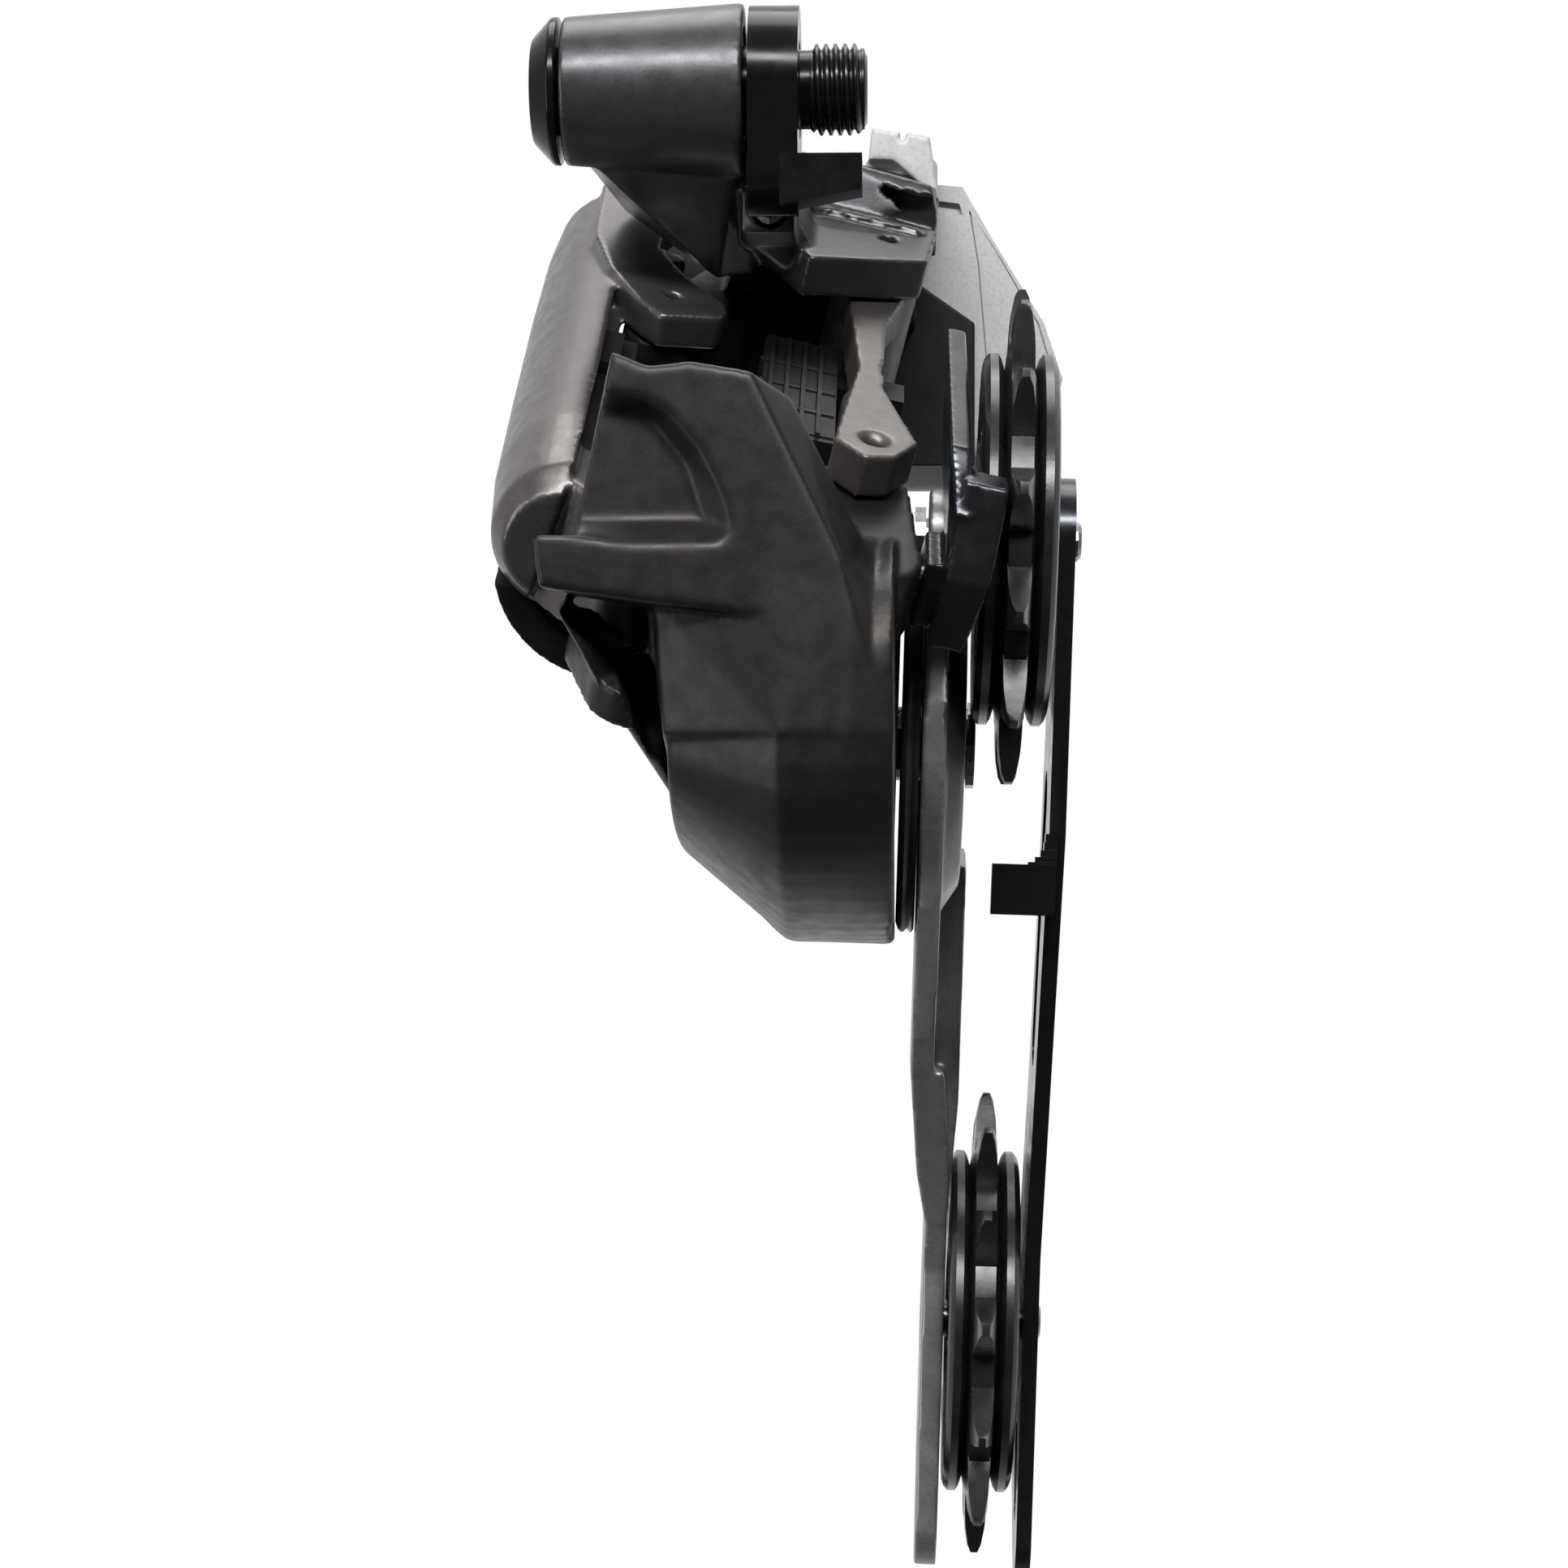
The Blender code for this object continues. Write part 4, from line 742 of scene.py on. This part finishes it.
def build_lower_body():
    """Drum round the cage axle, nose in front of it, and a scooped shell over the link pivots."""
    drum_profile = [(-13.4, 10.0), (-11.0, 13.8), (-2.0, 22.2), (-0.8, DRUM), (10.8, DRUM)]
    drum = turned(CAGE, CENTRE, drum_profile, 128)
    stations = [(10.5, 48.4, 22.0, 22.9), (5.9, 49.8, 16.0, 22.9)]
    stations += [(-0.9, 50.0, 15.0, 22.8), (-12.6, 43.0, 12.8, 12.8)]
    nose_points = []
    for x, *sizes in stations:
        nose_points += at_x(nose_profile(*sizes), (x,))
    nose = hull(WORLD, nose_points)
    front = [(-19.5, -33.0), (-14.0, -35.3), (-9.8, -34.8), (-3.9, -35.8), (5.4, -54.9)]
    front += [(6.2, -58.6), (-5.2, -60.0), (-13.8, -59.0), (-25.0, -57.4), (-25.6, -52.6)]
    shell = prism(FRONT, front, 24.0, 37.4)
    flange_points = [(-3.9, -37.4, -35.8), (5.4, -37.4, -54.9), (6.2, -36.2, -58.6)]
    flange_points += [(0.1, -32.8, -38.0), (7.2, -29.8, -52.0), (-3.9, -24.0, -36.4)]
    flange_points += [(0.0, -24.0, -38.2), (7.2, -20.0, -52.0), (8.0, -20.0, -62.0)]
    flange_points += [(-6.0, -24.0, -60.0)]
    flange = hull(WORLD, flange_points)
    spur_points = [(-24.4, -33.6, -58.0), (-21.0, -32.0, -63.0), (-19.6, -29.6, -67.0)]
    spur_points += [(-14.5, -21.0, -73.8), (-13.0, -8.0, -78.0), (-13.0, 0.0, -80.0)]
    spur_points += [(-12.0, -8.0, -62.0), (-8.0, -12.0, -64.0), (-16.0, -22.0, -60.0)]
    spur_points += [(-10.0, -6.0, -84.0)]
    spur = hull(WORLD, spur_points)
    apron_points = [(-14.5, -31.5, -58.0), (-14.5, -29.5, -68.0), (-13.0, -24.0, -74.0)]
    apron_points += [(-14.5, -14.0, -58.0), (-1.0, -34.0, -57.0), (-1.0, -34.0, -64.0)]
    apron_points += [(-1.0, -14.0, -57.0), (-8.0, -10.0, -72.0)]
    apron = hull(WORLD, apron_points)
    chest_points = [(-13.8, -33.4, -58.4), (-5.2, -36.6, -57.0), (-1.2, -37.3, -53.6)]
    chest_points += [(5.2, -37.3, -54.9), (6.2, -37.4, -58.6), (-13.0, -31.6, -72.0)]
    chest_points += [(-1.0, -38.2, -72.0), (6.0, -37.9, -72.0), (10.6, -36.4, -72.0)]
    chest_points += [(7.1, -29.0, -51.9), (10.3, -12.0, -50.6), (10.6, -30.0, -58.0)]
    chest_points += [(10.6, -34.0, -65.0), (-13.0, -20.0, -58.0), (-13.0, -20.0, -76.0)]
    chest_points += [(10.6, -12.0, -80.0)]
    chest = hull(WORLD, chest_points)
    inner_lug = slab(LINK, [(*B2, 5.2), (0.5, -62.0, 6.0)], -6.1, 2.1)
    lower_ear = slab(LINK, [(*A2, 4.2), (-20.0, -70.0, 5.0)], -17.4, -13.3)
    rim = [(-22.0, -35.6), (-14.0, -37.0), (-9.6, -40.0), (-7.0, -43.0), (-2.4, -52.4)]
    rim += [(-4.6, -55.6), (-10.0, -54.8), (-12.4, -52.8), (-27.0, -52.2)]
    floor = [(-22.0, -38.6), (-14.0, -40.4), (-10.6, -44.6), (-8.8, -50.4), (-26.0, -50.6)]
    valley = hull(WORLD, at_y(rim, (-40.0,)) + at_y(floor, (-34.6,)))
    recess = slab(FRONT, [(-15.8, -65.6, 2.0), (-14.2, -73.4, 1.0)], 20.0, 40.0)
    screw_axis = LINK @ Matrix.Rotation(math.radians(90.0), 4, "Y")
    cuts = [
        block(LINK, (-48.0, -67.8, -13.2), (-11.0, -20.0, 3.2)),
        block(LINK, (-48.0, -72.6, -16.0), (-29.4, -20.0, 22.0)),
        block(LINK, (-48.0, -66.0, -28.0), (-28.4, -20.0, -12.0)),
        slab(LINK, [(*B2, 5.6), (*B1, 9.0)], 2.3, 30.0),
        slab(LINK, [(*B2, 5.6), (*B1, 9.0)], -13.0, -6.3),
        rod(LINK, A2, PIN_SEAT, -18.0, 8.4),
        rod(LINK, B2, LINK_BORE, -7.0, 3.0),
        rod(CAGE, CENTRE, 19.4, -0.6, 11.8, 64),
        rod(CAGE, CENTRE, AXLE_BORE, -4.6, 2.0),
        rod(screw_axis, ARM_SCREW, 1.7, 1.0, 9.0),
        tube(CAGE, CENTRE, DRUM + 0.4, 34.0, 10.9, 26.0, 96),
        valley,
        recess,
    ]
    solids = [drum, nose, shell, flange, spur, apron, chest, inner_lug, lower_ear]
    body = cast("lower_body_casting", solids, cuts, 0.36, 10, 0.35)
    piece(body, "lower_body", BODY_GREY, "body_alloy", "lower_body")


def build_inner_arm():
    """Blade on the wheel side of the inner link, with a foot that holds its screw in a pocket."""
    blade_points = at_x([(-32.0, 1.6), (-62.0, 1.6)], (8.9, 11.2))
    blade_points += at_x([(-17.0, 8.0), (-62.0, 8.0)], (8.5, 10.2))
    blade_points += at_x([(-24.0, 13.0), (-56.0, 13.0)], (6.9, 9.0))
    blade = hull(LINK, blade_points)
    foot_points = at_x([(-60.5, 2.0), (-56.5, 11.0), (-60.0, 11.0), (-65.0, 2.0)], (8.9, 13.6))
    foot_points += at_x([(-62.0, -6.0), (-65.0, -6.0)], (8.9, 12.6))
    foot = hull(LINK, foot_points)
    bridge_side = [(-54.0, 2.0), (-62.0, 2.0), (-61.0, -6.0), (-54.0, -6.0)]
    bridge = hull(LINK, at_x(bridge_side, (6.9, 9.4)))
    screw_axis = LINK @ Matrix.Rotation(math.radians(90.0), 4, "Y")
    cuts = [rod(screw_axis, ARM_SCREW, 1.7, 5.0, 15.0), rod(screw_axis, ARM_SCREW, 3.3, 10.4, 15.0)]
    arm = cast("inner_arm_casting", [blade, foot, bridge], cuts, 0.3, 4, 0.5)
    piece(arm, "lower_body", DARK_STEEL, "dark_steel", "inner_arm")


# ---------------------------------------------------------------- cage and pulleys


def build_boss_ring():
    """Grooved ring between the lower body's drum and the outer plate."""
    profile = [(11.2, 6.0), (11.2, 20.4), (11.5, 21.2), (11.9, CAGE_HUB), (12.3, 21.4)]
    profile += [(12.5, 21.1), (12.7, 21.4), (13.0, CAGE_HUB), (13.3, 21.2), (13.3, 6.0)]
    boss = as_object("boss_ring_body", turned(CAGE, CENTRE, profile, 128, hollow=True))
    boss.data.shade_smooth()
    boss.data.set_sharp_from_angle(angle=CREASE)
    piece(boss, "cage", SATIN_GREY, "satin_grey_alloy", "boss_ring")


def build_outer_plate():
    """Plate on the outboard side of the pulleys, whose lower half is bent inboard."""
    upper_outline = arc(CENTRE, 22.0, 20.0, 96.0, 24)
    upper_outline += arc(GUIDE, 5.4, 60.0, 205.0, 14)
    upper_outline += arc(CENTRE, 22.0, 168.0, 236.0, 20)
    upper_outline += [(2.0, -34.0), (3.4, -38.0), (22.0, -38.0)]
    upper = prism(CAGE, upper_outline, 13.5, 16.2)
    bend_points = at_z([(3.4, -37.8), (22.0, -37.8)], (13.5, 17.4))
    bend_points += at_z([(7.7, -50.0), (27.0, -50.0)], (14.6, 18.4))
    bend_points += at_z([(9.9, -56.2), (29.6, -56.2)], (15.8, 18.4))
    bend = hull(CAGE, bend_points)
    lower_outline = [(9.9, -56.0), (12.0, -62.0)]
    lower_outline += arc((18.0, -92.0), 6.0, 190.0, 290.0, 12)
    lower_outline += [(30.0, -88.0)]
    lower_outline += arc(TENSION, 10.0, -30.0, 40.0, 10)
    lower_outline += [(29.6, -56.0)]
    lower = prism(CAGE, lower_outline, 15.8, 18.4)
    spine_points = at_z([(6.0, -14.0), (15.0, -12.0)], (15.0, 19.3))
    spine_points += at_z([(10.0, -42.0), (19.0, -40.0)], (15.0, 19.3))
    spine_points += at_z([(12.0, -56.0), (20.0, -54.0)], (16.0, 18.4))
    spine = hull(CAGE, spine_points)
    hub_profile = [(13.5, 21.2), (13.9, CAGE_HUB), (14.7, CAGE_HUB), (18.0, 16.4), (18.3, 15.8)]
    hub = turned(CAGE, CENTRE, hub_profile, 96)
    guide_boss = turned(CAGE, GUIDE, [(15.0, 4.4), (18.4, 3.6)], 48)
    cuts = [
        rod(CAGE, CENTRE, AXLE_BORE, 12.0, 20.0),
        rod(CAGE, GUIDE, 2.5, 12.0, 20.0),
        rod(CAGE, TENSION, 2.5, 12.0, 20.0),
        rod(CAGE, (1.4, 11.0), 1.6, 12.0, 20.0),
        rod(CAGE, TENSION, 3.7, 12.0, 16.9),
        slab(CAGE, [(19.0, -84.0, 3.0), (17.0, -90.0, 2.2)], 12.0, 20.0),
    ]
    solids = [upper, bend, lower, spine, hub, guide_boss]
    plate = cast("outer_plate_body", solids, cuts, 0.34, 4, 0.5)
    # The plate's lighter grey is painted light on its facets.
    piece(plate, "cage", PLATE_GREY_PAINTED_LIGHT, "satin_grey_alloy", "outer_plate")


def build_inner_plate():
    """Plate on the wheel side of the pulleys, with a tab bent outboard that guards the chain."""
    inner_outline = arc(GUIDE, 7.0, 20.0, 190.0, 20)
    inner_outline += [(-18.0, 8.0), (-17.0, -10.0), (-6.0, -30.0), (10.0, -60.0)]
    inner_outline += arc((17.0, -92.5), 6.4, 190.0, 280.0, 12)
    inner_outline += [(29.0, -90.0)]
    inner_outline += arc(TENSION, 10.0, -30.0, 40.0, 10)
    inner_outline += [(14.0, -34.0), (4.0, -10.0)]
    inner = prism(CAGE, inner_outline, 27.7, 29.5)
    tab_outline = [(-17.2, -13.0), (-15.0, -13.0), (-15.6, -18.6), (-13.4, -18.6)]
    tab = hull(CAGE, at_z(tab_outline, (21.6, 28.6)))
    bends = []
    for i in range(6):
        turn = math.radians(15.0 * i)
        rise = 3.6 * (1.0 - math.sin(turn))
        reach = 27.9 - 3.6 * (1.0 - math.cos(turn))
        corners = [(-17.1, -13.2 + rise), (-15.1, -13.2 + rise), (-15.6, -18.4), (-13.6, -18.4)]
        bends.append(hull(CAGE, at_z(corners, (reach - 0.6, 28.6))))
    cuts = [rod(CAGE, centre, 2.3, 26.0, 31.0) for centre in (GUIDE, TENSION)]
    cuts.append(slab(CAGE, [(-5.5, -6.0, 3.4), (6.5, -34.0, 3.0)], 26.0, 31.0))
    cuts.append(slab(CAGE, [(19.0, -84.0, 3.2), (17.6, -90.0, 2.4)], 26.0, 31.0))
    plate = machined("inner_plate_body", [inner, tab] + bends, cuts, 0.3)
    piece(plate, "cage", DARK_STEEL, "dark_steel", "inner_plate")


def build_tension_bolt():
    """Bolt whose head is sunk in the outer plate."""
    profile = [(16.0, 3.4), (16.8, 3.4), (16.8, 2.2), (30.0, 2.2), (30.4, 1.8)]
    shaft = turned(CAGE, TENSION, profile)
    socket = hex_socket(CAGE, TENSION, 2.5, 15.0, 16.7)
    bolt = machined("tension_bolt_body", [shaft], [socket])
    piece(bolt, "cage", BRIGHT_STEEL, "bright_steel", "tension_bolt")


def tooth(centre, angle):
    """One pulley tooth: wide at its root, narrow at its tip."""
    out = Vector((math.cos(angle), math.sin(angle)))
    side = Vector((-out.y, out.x))
    points = []
    sections = ((21.0, 3.6, 1.3), (23.2, 2.9, 1.25), (24.8, 2.1, 1.15), (26.8, 1.1, 0.8))
    sections += ((27.7, 0.6, 0.4),)
    for radius, half, thick in sections:
        for across in (-thick, thick):
            for along in (-half, half):
                place = Vector(centre) + out * radius + side * along
                points.append((place.x, place.y, CHAIN_LINE + across))
    return hull(CAGE, points)


def build_pulley(prefix, centre):
    """A toothed disc between two flanges, with holes round its bush."""
    middle = CHAIN_LINE
    side = [(4.1, 19.3), (3.9, 19.9), (3.4, 20.5), (2.5, 20.5)]
    side += [(2.1, 19.9), (1.7, 18.6), (1.2, 21.8)]
    profile = [(middle - offset, radius) for offset, radius in side]
    profile += [(middle + offset, radius) for offset, radius in reversed(side)]
    wheel = turned(CAGE, centre, profile, 104)
    turns = [math.pi / 2.0 + i * 2.0 * math.pi / PULLEY_TEETH for i in range(PULLEY_TEETH)]
    teeth = [tooth(centre, turn) for turn in turns]
    cuts = [
        rod(CAGE, centre, 5.0, middle - 6.0, middle + 6.0),
        rod(CAGE, centre, 8.6, middle - 6.0, middle - 2.8, 48),
        rod(CAGE, centre, 8.6, middle + 2.8, middle + 6.0, 48),
    ]
    for x, y in circle(centre, 13.8, 6):
        cuts.append(rod(CAGE, (x, y), 2.5, middle - 6.0, middle + 6.0, 24))
    pulley = machined(prefix + "_pulley_wheel", [wheel] + teeth, cuts, 0.18, 2, 35.0)
    piece(pulley, prefix + "_pulley", PULLEY_NYLON, "pulley_nylon", prefix + "_pulley")


# ---------------------------------------------------------------- studio


CAMERA_PLACE = (0.011, -0.360, -0.077)
CAMERA_TURN = math.radians(2.03)
FOCAL_LENGTH = 74.53
DOME_RADIUS = 4000.0
FLOOR_RADIUS = 3900.0
WHITE = (1.0, 1.0, 1.0)


def camera():
    """Level camera in front of the object, turned a little towards its outboard side."""
    data = bpy.data.cameras.new("camera")
    data.lens = FOCAL_LENGTH
    data.sensor_width = 36.0
    data.clip_start = 0.01
    made = bpy.data.objects.new("camera", data)
    bpy.context.scene.collection.objects.link(made)
    made.location = CAMERA_PLACE
    made.rotation_euler = (math.radians(90.0), 0.0, CAMERA_TURN)
    bpy.context.scene.camera = made


def camera_only(made):
    """Seen by the camera but by nothing else, so that it doesn't light the object."""
    made.visible_diffuse = False
    made.visible_glossy = False
    made.visible_transmission = False
    made.visible_volume_scatter = False
    made.visible_shadow = False


def glow(name, strength):
    """A plain white that gives its own light."""
    material = bpy.data.materials.new(name)
    material.use_nodes = True
    tree = material.node_tree
    tree.nodes.clear()
    light = tree.nodes.new("ShaderNodeEmission")
    light.inputs["Strength"].default_value = strength
    out = tree.nodes.new("ShaderNodeOutputMaterial")
    tree.links.new(light.outputs["Emission"], out.inputs["Surface"])
    return material


def backdrop():
    """White dome and floor."""
    bm = bmesh.new()
    bmesh.ops.create_uvsphere(bm, u_segments=48, v_segments=24, radius=DOME_RADIUS)
    dome = as_object("backdrop", bm)
    dome.data.materials.append(glow("backdrop_white", 1.0))
    floor = as_object("floor", rod(WORLD, CENTRE, FLOOR_RADIUS, -200.0, -190.0, 64))
    floor.data.materials.append(glow("floor_white", 0.995))
    for made in (dome, floor):
        camera_only(made)


def world():
    """Soft light that is bright behind and above, and dark in front."""
    made = bpy.data.worlds.new("studio")
    bpy.context.scene.world = made
    made.use_nodes = True
    tree = made.node_tree
    back = tree.nodes["Background"]
    coords = tree.nodes.new("ShaderNodeTexCoord").outputs["Generated"]
    split = tree.nodes.new("ShaderNodeSeparateXYZ")
    tree.links.new(coords, split.inputs["Vector"])
    rear = remap(tree, split.outputs["Y"], 0.02, 1.0, -0.35, 0.95)
    above = remap(tree, split.outputs["Z"], 0.0, 0.30, 0.35, 0.95)
    total = tree.nodes.new("ShaderNodeMath")
    total.operation = "ADD"
    link_nodes(tree, (rear, total.inputs[0]), (above, total.inputs[1]))
    tree.links.new(total.outputs[0], back.inputs["Strength"])
    back.inputs["Color"].default_value = (*WHITE, 1.0)


def softbox(name, place, target, size, power):
    """A rectangular light of a size in metres, aimed at a point."""
    data = bpy.data.lights.new(name, "AREA")
    data.shape = "RECTANGLE"
    data.size, data.size_y = size
    data.energy = power
    data.color = WHITE
    made = bpy.data.objects.new(name, data)
    bpy.context.scene.collection.objects.link(made)
    made.location = place
    aim = Vector(target) - Vector(place)
    made.rotation_euler = aim.to_track_quat("-Z", "Y").to_euler()


def lights():
    """Wide strip in front, soft light from the top, and a weak strip at the outboard side."""
    softbox("front_above", (0.0, -0.62, 0.42), (0.0, 0.0, -0.05), (0.9, 0.10), 10.5)
    softbox("top", (0.0, 0.2, 0.75), (0.0, 0.0, -0.05), (0.7, 0.5), 5.0)
    softbox("left_front", (-0.62, -0.30, -0.05), (0.0, 0.0, -0.08), (0.16, 0.6), 1.5)


def main():
    """Builds the visible pieces, gives the kept CAD nodes their materials, and sets the studio."""
    build_bolt()
    build_stop_plate()
    build_knuckle()
    build_battery_case()
    build_outer_link()
    build_inner_link()
    build_drive_unit()
    build_lower_body()
    build_inner_arm()
    build_boss_ring()
    build_outer_plate()
    build_inner_plate()
    build_tension_bolt()
    build_pulley("guide", GUIDE)
    build_pulley("tension", TENSION)
    kept = {
        BRONZE: ("b_bush", "guide_bush", "tension_bush"),
        BRIGHT_STEEL: ("b_tension_screw", "lower_outer_pin", "cage_axle", "stop_pin")
        + ("arm_screw", "guide_bolt", "door_hinge_pin", "clutch_roller"),
        SPRING_STEEL: ("cage_spring", "clutch_band", "drive_sector", "drive_pinion", "drive_worm"),
        BLACK_NYLON_AND_SHADE: ("door_latch", "function_button", "drum_cover", "drive_cover"),
        RUBBER_AND_SHADE: ("guide_cap_inner", "guide_cap_outer", "tension_cap_inner", "tension_cap_outer"),
        BOARD_GREEN: ("radio_board", "drive_board"),
        COPPER: ("drive_motor",),
        LENS: ("status_lens",),
        CELL_BLUE: ("battery",),
    }
    for material, nodes in kept.items():
        for node in nodes:
            for slot in frame["nodes"][node].material_slots:
                slot.material = material
    camera()
    backdrop()
    world()
    lights()
    bpy.context.scene.view_settings.view_transform = "Standard"


main()
